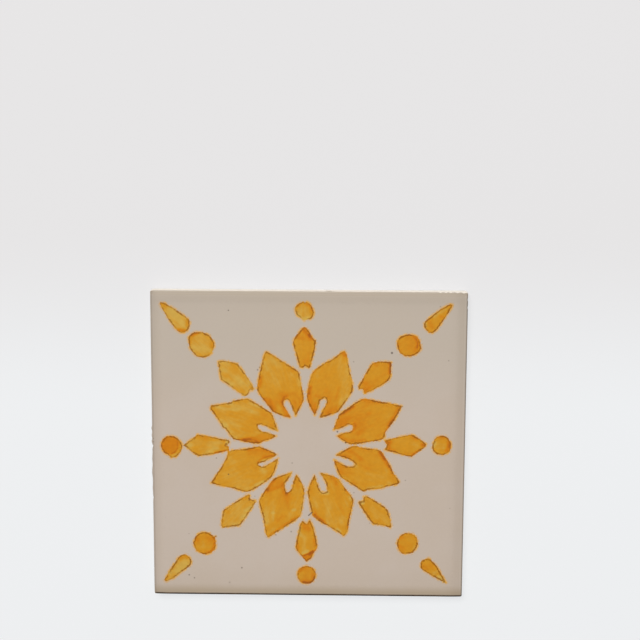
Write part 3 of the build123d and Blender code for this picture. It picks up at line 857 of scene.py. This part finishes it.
DOT_STROKES = {
    "north": [
        (0.7, 1.1, (-1.0, 64.3), (0.6, 63.6), (1.8, 61.8)), (0.5, 0.8, (-5.0, 63.0), (-3.4, 64.4)),
        (0.8, 0.5, (0.9, 61.4), (1.6, 60.2)), (1.6, -0.4, (-3.6, 60.0), (-3.2, 61.6)),
        (0.9, -1.5, (-5.4, 59.2), (-3.6, 57.7), (-2.0, 57.0), (-0.6, 57.4)),
    ],
    "south": [
        (0.9, 0.8, (-1.8, -63.7), (0.8, -63.7)),
        (0.45, 1.0, (-2.4, -63.6), (0.2, -64.2), (2.2, -63.2), (3.3, -61.4)),
        (0.9, 0.6, (2.6, -60.6), (2.5, -62.0)), (0.6, 0.8, (-3.8, -58.8), (-2.8, -57.8)),
        (0.5, 0.5, (-1.8, -57.2), (-1.2, -57.2)), (1.2, -0.5, (-3.2, -61.2), (-2.6, -59.6)),
    ],
    "north_west": [
        (0.5, 1.1, (-51.4, 49.8), (-50.2, 50.6), (-48.8, 50.9)),
        (0.8, 0.8, (-42.6, 46.6), (-42.7, 44.8)), (1.8, -0.5, (-50.0, 44.4), (-46.4, 43.6)),
        (1.0, -0.2, (-45.2, 42.4), (-43.6, 43.2)),
    ],
    "north_east": [
        (0.5, 1.2, (46.4, 50.0), (47.7, 48.8), (48.3, 46.8), (48.0, 45.0)),
        (0.9, 0.3, (48.2, 46.0), (47.0, 43.6)), (1.0, -0.3, (40.6, 48.4), (42.0, 49.4)),
        (1.4, -0.3, (42.0, 42.8), (45.6, 42.6)), (1.6, -0.2, (41.0, 45.6), (42.4, 46.6)),
    ],
    "east": [
        (0.8, 0.5, (58.4, 4.4), (60.6, 4.2)), (0.5, 0.8, (63.2, 1.8), (63.0, -0.2)),
        (0.7, -1.1, (56.6, 2.0), (56.2, 0.2)), (1.3, -0.5, (58.2, 0.6), (58.0, -1.8)),
        (1.1, -0.6, (60.6, 0.2), (60.6, -0.8)),
    ],
    "south_east": [
        (0.7, 0.5, (41.6, -42.9), (42.6, -42.2)), (0.9, 0.4, (41.6, -46.4), (43.4, -48.0)),
        (0.8, -0.4, (41.4, -44.0), (43.0, -45.2)), (1.2, -0.35, (45.8, -43.2), (48.4, -44.2)),
        (0.8, -0.6, (48.4, -46.4), (47.6, -48.0)),
    ],
    "south_west": [
        (0.5, 1.2, (-42.3, -45.6), (-42.5, -47.6), (-43.6, -49.3), (-45.4, -50.4)),
        (0.6, 0.6, (-43.0, -42.9), (-42.1, -44.8)), (1.4, 0.4, (-45.2, -43.0), (-43.8, -44.2)),
        (0.7, 0.5, (-50.6, -43.2), (-49.8, -44.6)),
        (1.1, -0.5, (-50.2, -48.0), (-47.4, -47.8), (-45.0, -47.9)),
        (0.9, -0.4, (-47.4, -45.2), (-47.2, -46.8)),
    ],
    "west": [
        (0.8, 0.4, (-64.8, 1.6), (-63.4, 2.4)), (0.8, 0.4, (-65.0, -0.6), (-64.4, -2.6)),
        (0.35, 0.8, (-58.3, 1.2), (-58.4, -1.6), (-59.6, -3.4), (-61.4, -4.3)),
        (0.4, 0.8, (-57.6, 0.8), (-57.7, -1.2)), (0.6, -0.4, (-60.8, -5.2), (-58.8, -4.0)),
    ],
}
print(sum(map(len, [*DROP_STROKES.values(), *DOT_STROKES.values()])), "over drops and dots")

# %% Where a second brushful lapped over the wash, with an edge of its own: tone, outline
LAPS = [
    (0.5, [
        (-54.0, 45.0), (-54.0, 50.4), (-50.4, 52.4), (-47.4, 52.0), (-48.8, 50.5), (-50.5, 49.5),
        (-51.7, 47.8), (-52.2, 45.4),
    ]),
    (0.65, [
        (-31.8, 2.2), (-30.2, 3.2), (-28.6, 3.5), (-25.0, 3.8), (-22.6, 4.6), (-20.6, 5.6),
        (-13.8, 4.3), (-20.0, 1.4), (-23.0, 0.4), (-31.0, 1.6),
    ]),
    (0.30, [
        (-21.5, -23.4), (-17.5, -21.4), (-14.6, -20.6), (-11.4, -18.8), (-10.8, -15.0),
        (-15.0, -14.0),
    ]),
    (0.18, [
        (-15.4, -23.0), (-12.0, -20.4), (-7.6, -21.6), (-7.2, -24.2), (-10.0, -33.6),
        (-12.6, -39.0), (-16.0, -41.4), (-15.0, -33.0),
    ]),
    (0.40, [(-7.5, 49.0), (-4.2, 48.4), (-0.4, 47.8), (3.4, 47.9), (-1.7, 55.0)]),
    (1.15, [(-3.0, -51.6), (0.4, -50.1), (4.2, -47.8), (1.8, -52.8), (-0.4, -54.6)]),
    (0.85, [
        (62.3, 3.6), (62.0, 1.6), (62.0, -0.4), (61.2, -1.3), (61.0, -2.1), (62.2, -2.3),
        (63.0, -1.8), (63.3, -0.4), (65.0, -0.3), (64.6, 3.0),
    ]),
    (1.0, [
        (-66.6, -0.2), (-65.8, 2.8), (-62.6, 4.8), (-59.6, 4.4), (-58.1, 1.6), (-58.2, -1.6),
        (-59.4, -3.6), (-61.0, -4.5), (-63.4, -4.7), (-66.0, -2.8),
    ]),
]
LAP_EDGE = (0.3, -0.2)  # mm from a lap's outline, between which its colour sets in
print(len(LAPS), "laps")

# %% Add up the tones
# A place far from every motif has the number -1, so it reads the last tone.
motif_tones = np.array(sum(MOTIF_TONES.values(), []) + [0.0])
tone = motif_tones[motif_of]


def distance_to_path(path, x, y):
    """The least distance of each place to an open path, |p - (a + t (b - a))| over its
    runs ab, with t held to 0..1."""
    nearest = np.full(len(x), np.inf)
    for a, b in zip(np.array(path[:-1]), np.array(path[1:])):
        edge = b - a
        t = ((x - a[0]) * edge[0] + (y - a[1]) * edge[1]) / (edge @ edge)
        t = np.clip(t, 0, 1)
        away = np.hypot(x - a[0] - t * edge[0], y - a[1] - t * edge[1])
        nearest = np.minimum(nearest, away)
    return nearest


strokes = [
    stroke
    for group in (PETAL_STROKES, KITE_STROKES, DROP_STROKES, DOT_STROKES)
    for motif_strokes in group.values()
    for stroke in motif_strokes
]
for half_width, amount, *path in strokes:
    reach = distance_to_path(path, paint_x, paint_y) / half_width
    tone += amount * np.exp(-(reach**2))
for amount, outline in LAPS:
    over_lap = distance_to(np.array(outline), paint_x, paint_y)
    tone += amount * smooth_step(*LAP_EDGE, over_lap)
print("tones from", tone.min().round(2), "to", tone.max().round(2))

# %% [markdown]
# ## Streaks that follow the brush
# A brush's hairs leave streaks along its way. A noise on the slab's own coordinates would run
# the same way in every motif, so each place also gets its coordinates along and across the
# line from the flower's middle through its motif, and the streaks are stretched along those.

# %% Where each brush ran
FLOWER_MIDDLE = np.array([-0.9, 0.3])
MOTIF_SHIFT = 31.0  # mm, so far from each other that no two motifs share a streak
middles = np.array([outline.mean(axis=0) for outline in motifs] + [[0.0, 0.0]])
headings = np.arctan2(*(middles - FLOWER_MIDDLE).T[::-1])[motif_of]
dx, dy = paint_x - middles[motif_of, 0], paint_y - middles[motif_of, 1]
brush = np.stack([
    dx * np.cos(headings) + dy * np.sin(headings),
    dy * np.cos(headings) - dx * np.sin(headings),
    MOTIF_SHIFT * motif_of,
], axis=1)
print("streaks run along", len(middles) - 1, "lines")

# %% [markdown]
# ## How the glaze's tone and painted shade change towards its rim
# A glaze thins where the face sinks, greys there, and browns where it turns over the rim. The
# same lists also paint shade: darker bands along the edges, where the rolled glaze turns from
# the light, and a slow fall towards the corners. Along the bottom rim the tone falls to a
# near-black line. Each side has a list of its own, read by the distance in from it, which one
# noise couldn't give.

# %% The tone and painted shade at each distance in from a side
# For each side, by its way out: how far in from it, in mm, and the share of the plain
# glaze's brightness there, which holds the glaze's thinning and painted shade together.
RIM_TONES_AND_SHADE = {
    (0, 1): [
        (0.0, 1.0), (0.1, 1.0), (0.5, 0.88), (1.0, 0.97), (1.7, 1.0), (2.2, 0.94),
        (4.6, 0.94), (6.2, 0.98), (12.0, 1.0),
    ],
    (1, 0): [
        (0.0, 0.40), (0.4, 0.54), (0.7, 0.92), (1.4, 0.94), (3.5, 0.94), (5.5, 0.98),
        (8.0, 1.0),
    ],
    # Along the bottom rim the tone falls to nought, a near-black line.
    (0, -1): [(0.0, 0.0), (0.62, 0.0), (0.76, 0.75), (0.88, 1.0), (1.4, 1.0)],
    (-1, 0): [(0.0, 0.80), (0.2, 0.80), (0.6, 0.70), (1.1, 0.90), (2.1, 0.97), (4.0, 1.0)],
}
# Painted shade: the face darkens slowly towards its corners.
PAINTED_CORNER_SHADE = 0.035  # how much less bright the face's corners are than its middle


def rim_tone_and_shade(x, y):
    """The product of the four sides' tones, each read off its list by the distance in,
    and of a slow painted fall of light, a painted shade, with the square of the distance from the
    middle."""
    total = 1 - PAINTED_CORNER_SHADE * (x**2 + y**2) / (2 * HALF_SIDE**2)
    for (side_x, side_y), stops in RIM_TONES_AND_SHADE.items():
        depth = HALF_SIDE - (x * side_x + y * side_y)
        total *= np.interp(depth, *zip(*stops))
    return total


one_in = HALF_SIDE - 1
print("1 mm in:", {side: rim_tone_and_shade(*np.array(side) * one_in).round(2) for side in RIM_TONES_AND_SHADE})

# %% Store them on the mesh
def store(name, values, kind="FLOAT"):
    """Writes one value, or three, for each point of the mesh under a name."""
    layer = mesh.attributes.new(name, kind, "POINT")
    key = "vector" if kind == "FLOAT_VECTOR" else "value"
    layer.data.foreach_set(key, values.astype(np.float32).ravel())


others = len(points) - len(paint_x)
store("paint_distance", np.concatenate([paint_distance, np.full(others, FAR)]))
store("paint_tone", np.concatenate([tone, np.zeros(others)]))
# The rim tones carry painted shade as well as the glaze's thinning.
store("rim_tone_and_shade", rim_tone_and_shade(points[:, 0], points[:, 1]))
store("brush", np.concatenate([brush, np.zeros((others, 3))]), "FLOAT_VECTOR")
print([layer.name for layer in mesh.attributes])

# %% [markdown]
# ## The finish
# Tin glaze is opaque and warm grey, and the ochre lies in it. One shader makes all of the
# tile: it starts with the glaze, washes the ochre over it where the distance is under
# nought, darkens the line where the wash pooled against the stencil, drops in the specks
# that burnt out of the clay, and turns to bare clay below the line that the glaze reached.

# %% Short names for the shader's parts


def new_material(name):
    """Returns a material whose node tree is empty, and that tree."""
    made = bpy.data.materials.new(name)
    made.use_nodes = True
    made.node_tree.nodes.clear()
    return made, made.node_tree


def new(kind):
    """Adds a node of this kind to the tree at hand."""
    return tree.nodes.new("ShaderNode" + kind)


def put(socket, value):
    """Joins a socket to another node's output, or sets its constant."""
    if isinstance(value, bpy.types.NodeSocket):
        tree.links.new(value, socket)
    else:
        socket.default_value = value


def calc(operation, *values):
    """One step of arithmetic."""
    node = new("Math")
    node.operation = operation
    for socket, value in zip(node.inputs, values):
        put(socket, value)
    return node.outputs[0]


def ease(value, low_end, high_end, most=1.0):
    """Rises smoothly from 0 to most as value goes from low_end to high_end, which may be
    the smaller of the two."""
    node = new("MapRange")
    node.interpolation_type = "SMOOTHSTEP"
    for name, given in {
        "Value": value, "From Min": low_end, "From Max": high_end, "To Max": most,
    }.items():
        put(node.inputs[name], given)
    return node.outputs["Result"]


def blend(share, under, over):
    """Lays a share of one colour over another."""
    node = new("Mix")
    node.data_type = "RGBA"
    colours = [socket for socket in node.inputs if socket.type == "RGBA"]
    put(node.inputs[0], share)
    put(colours[0], under)
    put(colours[1], over)
    return next(socket for socket in node.outputs if socket.type == "RGBA")


def read(name, output="Fac"):
    """What is stored on the mesh under a name."""
    node = new("Attribute")
    node.attribute_name = name
    return node.outputs[output]


def cloud(vector, scale, detail=2.0, rough=0.5):
    """Noise between 0 and 1, with scale cells to each unit of the vector."""
    node = new("TexNoise")
    for name, given in {
        "Vector": vector, "Scale": scale, "Detail": detail, "Roughness": rough,
    }.items():
        put(node.inputs[name], given)
    return node.outputs["Fac"]


def uneven(noise, amount):
    """Noise as a number around nought, amount wide."""
    return calc("MULTIPLY", calc("SUBTRACT", noise, 0.5), amount)


def stretched(vector, factors):
    """A vector with each part multiplied by its own factor."""
    node = new("Mapping")
    put(node.inputs["Vector"], vector)
    put(node.inputs["Scale"], factors)
    return node.outputs["Vector"]


material, tree = new_material("glazed_earthenware")
place = new("TexCoord").outputs["Object"]  # in metres
split = new("SeparateXYZ")
put(split.inputs[0], place)
across, up, height = (split.outputs[axis] for axis in "XYZ")
PER_MM = 1 / MM  # as a noise's scale: one cell to the millimetre
print("a place has", across.name, up.name, height.name)

# %% Plain glaze, with a faint cloudiness
GLAZE = (0.504, 0.422, 0.354, 1)
GLAZE_WARM = (0.496, 0.411, 0.338, 1)
GLAZE_TOP = (0.466, 0.400, 0.329, 1)  # towards the top edge it is a little greyer
TOP_FROM, TOP_TO, TOP_SHARE = 5.0 * MM, 50.0 * MM, 0.8
GRAIN = (0.36, 0.29, 0.23, 1)
cloudy = ease(cloud(place, 0.05 * PER_MM, 3.0), 0.35, 0.65)
glaze = blend(cloudy, GLAZE, GLAZE_WARM)
glaze = blend(ease(up, TOP_FROM, TOP_TO, TOP_SHARE), glaze, GLAZE_TOP)
glaze = blend(ease(cloud(place, 0.9 * PER_MM), 0.3, 0.8, 0.05), glaze, GRAIN)
print("glaze:", len(tree.nodes), "nodes so far")

# %% The wash: its edge, its colour, and the streaks that the brush's hairs left
WASH_PALE = (0.580, 0.357, 0.060, 1)
WASH = (0.586, 0.259, 0.010, 1)
WASH_DEEP = (0.575, 0.187, 0.0008, 1)
WASH_BURNT = (0.36, 0.085, 0.0015, 1)
MOTTLE = (0.20, 0.06, 0.001, 1)
EDGE_SWAY, EDGE_FRAY = 0.7, 0.8  # mm, how far the edge strays slowly and quickly
HAIR_STREAK = (0.15, 1.0, 1.0)  # seven times as long as wide
BROAD_STREAK = (0.14, 0.28, 1.0)
STREAK_TONE = 0.8  # how much tone each kind of streak may add and take
edge = calc("ADD", read("paint_distance"), uneven(cloud(place, 0.6 * PER_MM, 2.0, 0.6), EDGE_SWAY))
edge = calc("ADD", edge, uneven(cloud(place, 1.3 * PER_MM, 2.0, 0.6), EDGE_FRAY))
hairs = cloud(stretched(read("brush", "Vector"), HAIR_STREAK), 1.0, 3.0, 0.55)
patches = cloud(stretched(read("brush", "Vector"), BROAD_STREAK), 1.0)
tone_now = calc("ADD", read("paint_tone"), uneven(hairs, STREAK_TONE))
tone_now = calc("ADD", tone_now, uneven(patches, STREAK_TONE))
wash = blend(ease(tone_now, -0.9, 0.15), WASH_PALE, WASH)
wash = blend(ease(tone_now, 0.0, 1.1), wash, WASH_DEEP)
wash = blend(ease(tone_now, 1.0, 2.2), wash, WASH_BURNT)
mottled = ease(cloud(place, 0.6 * PER_MM, 3.0, 0.6), 0.30, 0.70, 0.11)
wash = blend(mottled, wash, MOTTLE)
print("wash:", len(tree.nodes), "nodes so far")

# %% The dark line where the wash pooled, and the faint bleed outside it
LINE = (0.225, 0.068, 0.001, 1)
LINE_INSIDE = (-0.60, -0.25)  # mm from the edge, between which the line sets in
LINE_OUTSIDE = (0.20, 0.00)  # and between which it ends
LINE_LEAST, LINE_MORE = 0.08, 0.72  # its strength, and what pooling adds to that
DRY_TONES = (-1.7, -1.0)  # where the brush ran dry there is no line
BLEED = (0.63, 0.34, 0.07, 1)
BLEED_REACH = (1.30, 0.10)  # mm out from the edge
PAINT_END = (0.26, 0.06)
pooled = ease(cloud(place, 0.22 * PER_MM, 4.0, 0.7), 0.34, 0.60)
line_inner = ease(calc("ADD", edge, uneven(pooled, 0.3)), *LINE_INSIDE)
line = calc("MULTIPLY", line_inner, ease(edge, *LINE_OUTSIDE))
strength = calc("ADD", calc("MULTIPLY", pooled, LINE_MORE), LINE_LEAST)
line = calc("MULTIPLY", line, strength)
line = calc("MULTIPLY", line, ease(tone_now, *DRY_TONES))
wash = blend(line, wash, LINE)
covered = ease(edge, *PAINT_END)
bleed_share = ease(cloud(place, 0.6 * PER_MM, 3.0), 0.30, 0.70, 1.3)
bleed = calc("MULTIPLY", ease(edge, *BLEED_REACH), bleed_share)
face_colour = blend(bleed, glaze, BLEED)
face_colour = blend(covered, face_colour, wash)
print("line and bleed:", len(tree.nodes), "nodes so far")

# %% [markdown]
# ## Specks
# Grains of iron in the clay burn through the glaze as small dark dots. There are only a few,
# so each is a small ball in Object coordinates that darkens what lies in it. A noise cut at
# a high value would scatter them anywhere.

# %% Specks of iron that burnt through the glaze: x, y, radius in mm, and how dark
SPECKS = [
    (37.0, 42.6, 0.55, 0.75), (-35.3, 61.2, 0.32, 0.75), (-22.5, 34.5, 0.36, 0.65),
    (-21.6, 35.6, 0.34, 0.55), (20.1, 38.5, 0.35, 0.35), (62.1, 39.3, 0.36, 0.35),
    (58.0, 63.5, 0.35, 0.35), (13.1, 6.6, 0.42, 0.75), (16.8, 1.6, 0.42, 0.85),
    (-41.1, -6.0, 0.32, 0.55), (-35.7, -13.5, 0.36, 0.70), (-12.4, 12.6, 0.28, 0.35),
    (-7.1, -8.0, 0.32, 0.50), (-7.5, -40.0, 0.42, 0.45), (-14.4, -41.6, 0.36, 0.50),
    (43.7, -15.6, 0.32, 0.40), (20.7, -21.5, 0.34, 0.40), (-53.9, -60.9, 0.36, 0.70),
    (-51.5, -62.3, 0.38, 0.55), (-29.9, -57.3, 0.42, 0.60), (-35.5, -64.3, 0.50, 0.25),
    (-53.8, -41.4, 0.34, 0.25), (-23.9, -23.6, 0.34, 0.30), (27.9, -35.7, 0.34, 0.30),
    (63.9, -28.4, 0.34, 0.25), (41.9, 18.3, 0.40, 0.45), (61.9, -63.1, 0.45, 0.45),
    (-41.5, -42.5, 0.32, 0.60), (-69.4, 2.7, 0.35, 0.45), (-69.3, 1.2, 0.40, 0.35),
]
# A slip of the brush's tip, as specks in a row
SLIP_START, SLIP_END, SLIP_SPECKS = (0.4, -32.3), (1.9, -30.9), 5
for share in np.linspace(0, 1, SLIP_SPECKS):
    x, y = ((1 - share) * a + share * b for a, b in zip(SLIP_START, SLIP_END))
    SPECKS.append((x, y, 0.34, 0.85))
SPECK_BROWN = (0.055, 0.036, 0.026, 1)
SPECK_OUTER, SPECK_INNER = 1.35, 0.35  # of its radius, between which a speck fades in

dark = 0.0
for x, y, radius, darkness in SPECKS:
    node = new("VectorMath")
    node.operation = "DISTANCE"
    middle = ((x + STENCIL_PLACE[0]) * MM, (y + STENCIL_PLACE[1]) * MM, THICKNESS * MM)
    put(node.inputs[0], place)
    put(node.inputs[1], middle)
    fade = (SPECK_OUTER * radius * MM, SPECK_INNER * radius * MM)
    dark = calc("MAXIMUM", dark, ease(node.outputs["Value"], *fade, darkness))
face_colour = blend(dark, face_colour, SPECK_BROWN)
print(len(SPECKS), "specks")

# %% [markdown]
# ## The glaze's end, painted shade and the bare clay
# Where the glaze thins, the clay's iron tints it: tan in a soft band, and brown at the turn of
# the rim. The tan along the bottom edge is partly painted shade, and the same dark brown also
# paints the shade that the rim tones ask for over the face. The wiped sides and the back stay
# bare. Both are read from the distance to the rim and from height, so they stay in place
# however the tile is turned.

# %% Tan along the edges, deepest at the bottom where it is partly painted shade, and brown and painted shade by the rim tones
# The tan and the two browns below are also the colours of painted shade.
RIM_TAN_AND_SHADE = (0.25, 0.17, 0.06, 1)
RIM_BROWN_AND_SHADE = (0.020, 0.011, 0.006, 1)
RIM_BROWN_AND_SHADE_PALE = (0.070, 0.038, 0.018, 1)


def from_bottom(outer, inner, share):
    """Rises to share between two distances in from the bottom edge, in mm."""
    return ease(up, (outer - HALF_SIDE) * MM, (inner - HALF_SIDE) * MM, share)


# Partly painted shade: the tan deepens towards the bottom edge, where the rolled glaze turns from the
# light.
tan_and_shade_share = calc("ADD", from_bottom(6.0, 0.6, 0.40), from_bottom(16.0, 4.0, 0.06))
tan_and_shade_share = calc("SUBTRACT", tan_and_shade_share, from_bottom(1.8, 1.0, 0.10))
tan_top = ease(up, (HALF_SIDE - 2.4) * MM, (HALF_SIDE - 1.2) * MM, 0.20)
outermost = calc("MAXIMUM", calc("ABSOLUTE", across), calc("ABSOLUTE", up))
tan_rim = ease(outermost, (HALF_SIDE - 5.6) * MM, (HALF_SIDE - 2.6) * MM, 0.05)
tan_and_shade_share = calc("MAXIMUM", calc("MAXIMUM", tan_and_shade_share, tan_top), tan_rim)
face_colour = blend(tan_and_shade_share, face_colour, RIM_TAN_AND_SHADE)
# The brown and the painted shade end where the edge has turned over, a little unevenly.
ragged = uneven(cloud(place, 0.35 * PER_MM, 3.0), 1.2 * MM)
above_turn = calc("ADD", height, calc("MULTIPLY", ragged, 0.5))
above_turn = ease(above_turn, (THICKNESS - 0.72) * MM, (THICKNESS - 0.47) * MM)
# Painted shade and brown: where the rim tones fall below one, this dark brown is laid over the face:
# painted shade in bands along the edges and towards the corners, brown where the glaze turns over the
# rim, and a near-black line along the bottom rim.
brown_and_shade_share = calc("MULTIPLY", calc("SUBTRACT", 1.0, read("rim_tone_and_shade")), above_turn)
brown_and_shade_mottle = ease(cloud(place, 0.13 * PER_MM, 4.0, 0.65), 0.45, 0.68)
face_colour = blend(brown_and_shade_share, face_colour, blend(brown_and_shade_mottle, RIM_BROWN_AND_SHADE, RIM_BROWN_AND_SHADE_PALE))
print("rim:", len(tree.nodes), "nodes so far")

# %% Bare clay on the sides and back, up to an uneven glaze line
CLAY = (0.83, 0.77, 0.69, 1)
CLAY_DARK = (0.76, 0.68, 0.58, 1)
GLAZE_LINE = THICKNESS - 0.85  # mm, how high on the sides the glaze ends
GLAZE_LINE_SOFT = 0.1  # mm, to each side of it
grain = cloud(place, 1.6 * PER_MM, 4.0, 0.65)
clay = blend(ease(grain, 0.35, 0.75), CLAY, CLAY_DARK)
glazed = ease(
    calc("ADD", height, ragged),
    (GLAZE_LINE - GLAZE_LINE_SOFT) * MM, (GLAZE_LINE + GLAZE_LINE_SOFT) * MM,
)
colour = blend(glazed, clay, face_colour)
print("clay:", len(tree.nodes), "nodes so far")

# %% Put the surface together
ROUGH_CLAY, ROUGH_GLAZE, ROUGH_PAINT, ROUGH_RIM = 0.85, 0.20, 0.05, 0.30
GLOSS = 0.45
CLAY_RELIEF = 0.12 * MM
surface = new("BsdfPrincipled")
rough_rim = ease(outermost, (HALF_SIDE - 1.8) * MM, (HALF_SIDE - 0.7) * MM, ROUGH_RIM)
rough_face = calc("ADD", calc("MULTIPLY", covered, ROUGH_PAINT), ROUGH_GLAZE)
rough_face = calc("ADD", rough_face, rough_rim)
smoother = calc("MULTIPLY", glazed, calc("SUBTRACT", rough_face, ROUGH_CLAY))
relief = calc("MULTIPLY", grain, calc("SUBTRACT", 1.0, glazed))
bump = new("Bump")
put(bump.inputs["Height"], relief)
put(bump.inputs["Distance"], CLAY_RELIEF)
put(bump.inputs["Strength"], 0.5)
put(surface.inputs["Base Color"], colour)
put(surface.inputs["Roughness"], calc("ADD", smoother, ROUGH_CLAY))
gloss = calc("SUBTRACT", GLOSS, calc("MULTIPLY", brown_and_shade_share, GLOSS))
put(surface.inputs["Specular IOR Level"], gloss)
put(surface.inputs["Normal"], bump.outputs["Normal"])
put(new("OutputMaterial").inputs["Surface"], surface.outputs["BSDF"])
mesh.materials.append(material)
print("the finish has", len(tree.nodes), "nodes")

# %% The tile stands for the CAD slab, moves with it, and takes its one material slot
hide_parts("tile")
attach(tile, "root")
print(tile.name, "stands for the CAD slab")

# %% [markdown]
# ## The view
# The tile lies on a pale floor, and the camera looks down on it from above its top edge,
# which is how the photo sees it.

# %% Camera
CAMERA_PLACE = (16.44, 170.37, 659.31)  # mm
CAMERA_TURN = (-9.835, 1.049, 0.241)  # degrees about X, Y and Z
FOCAL_LENGTH, FRAME_WIDTH = 84.375, 36.0  # mm
camera_data = bpy.data.cameras.new("camera")
camera_data.lens = FOCAL_LENGTH
camera_data.sensor_width = FRAME_WIDTH
camera = add_object("camera", camera_data)
camera.location = Vector(CAMERA_PLACE) * MM
camera.rotation_euler = [math.radians(angle) for angle in CAMERA_TURN]
bpy.context.scene.camera = camera
print("camera", round(Vector(CAMERA_PLACE).length), "mm from the tile's middle")

# %% Floor
FLOOR_HALF = 2.0  # m
FLOOR_WHITE = (0.80, 0.80, 0.80, 1)
SEEN_NEAR = (0.845, 0.860, 0.875, 1)  # what the camera sees of the floor near its foot
SEEN_FAR = (0.770, 0.757, 0.760, 1)  # and past the tile's top edge
SEEN_FROM, SEEN_TO = 0.01, 0.10  # m, where the one turns into the other
SEEN_SHARE = 0.82  # how much of what the camera sees is this plain colour, not the lit floor
floor_mesh = bpy.data.meshes.new("floor")
floor_corners = [(-1, -1, 0), (1, -1, 0), (1, 1, 0), (-1, 1, 0)]
floor_mesh.from_pydata([Vector(p) * FLOOR_HALF for p in floor_corners], [], [(0, 1, 2, 3)])
floor = add_object("floor", floor_mesh)
floor_material, tree = new_material("floor")  # from here on the short names work on it
lit = new("BsdfDiffuse")
put(lit.inputs["Color"], FLOOR_WHITE)
plain = new("Emission")
floor_place = new("SeparateXYZ")
put(floor_place.inputs[0], new("TexCoord").outputs["Object"])
further = ease(floor_place.outputs["Y"], SEEN_FROM, SEEN_TO)
put(plain.inputs["Color"], blend(further, SEEN_NEAR, SEEN_FAR))
both = new("MixShader")
camera_ray = new("LightPath").outputs["Is Camera Ray"]
put(both.inputs["Fac"], calc("MULTIPLY", camera_ray, SEEN_SHARE))
put(both.inputs[1], lit.outputs["BSDF"])
put(both.inputs[2], plain.outputs["Emission"])
put(new("OutputMaterial").inputs["Surface"], both.outputs["Shader"])
floor_mesh.materials.append(floor_material)
print("floor", 2 * FLOOR_HALF, "m wide")

# %% Light: a wide lamp above the top edge, and an even sky
LAMP_PLACE = (-0.5, 1.7, 3.2)  # m
LAMP_SIZE = 1.6  # m
LAMP_POWER = 141.0  # W
SKY = 0.235
lamp_data = bpy.data.lights.new("softbox", "AREA")
lamp_data.size = LAMP_SIZE
lamp_data.energy = LAMP_POWER
lamp = add_object("softbox", lamp_data)
lamp.location = LAMP_PLACE
lamp.rotation_euler = (-Vector(LAMP_PLACE)).to_track_quat("-Z", "Y").to_euler()
world = bpy.data.worlds.new("sky")
world.use_nodes = True
sky = next(node for node in world.node_tree.nodes if node.type == "BACKGROUND")
sky.inputs["Color"].default_value = (1, 1, 1, 1)
sky.inputs["Strength"].default_value = SKY
bpy.context.scene.world = world
bpy.context.scene.view_settings.view_transform = "Standard"
print("lamp of", LAMP_POWER, "W and a sky of", SKY)
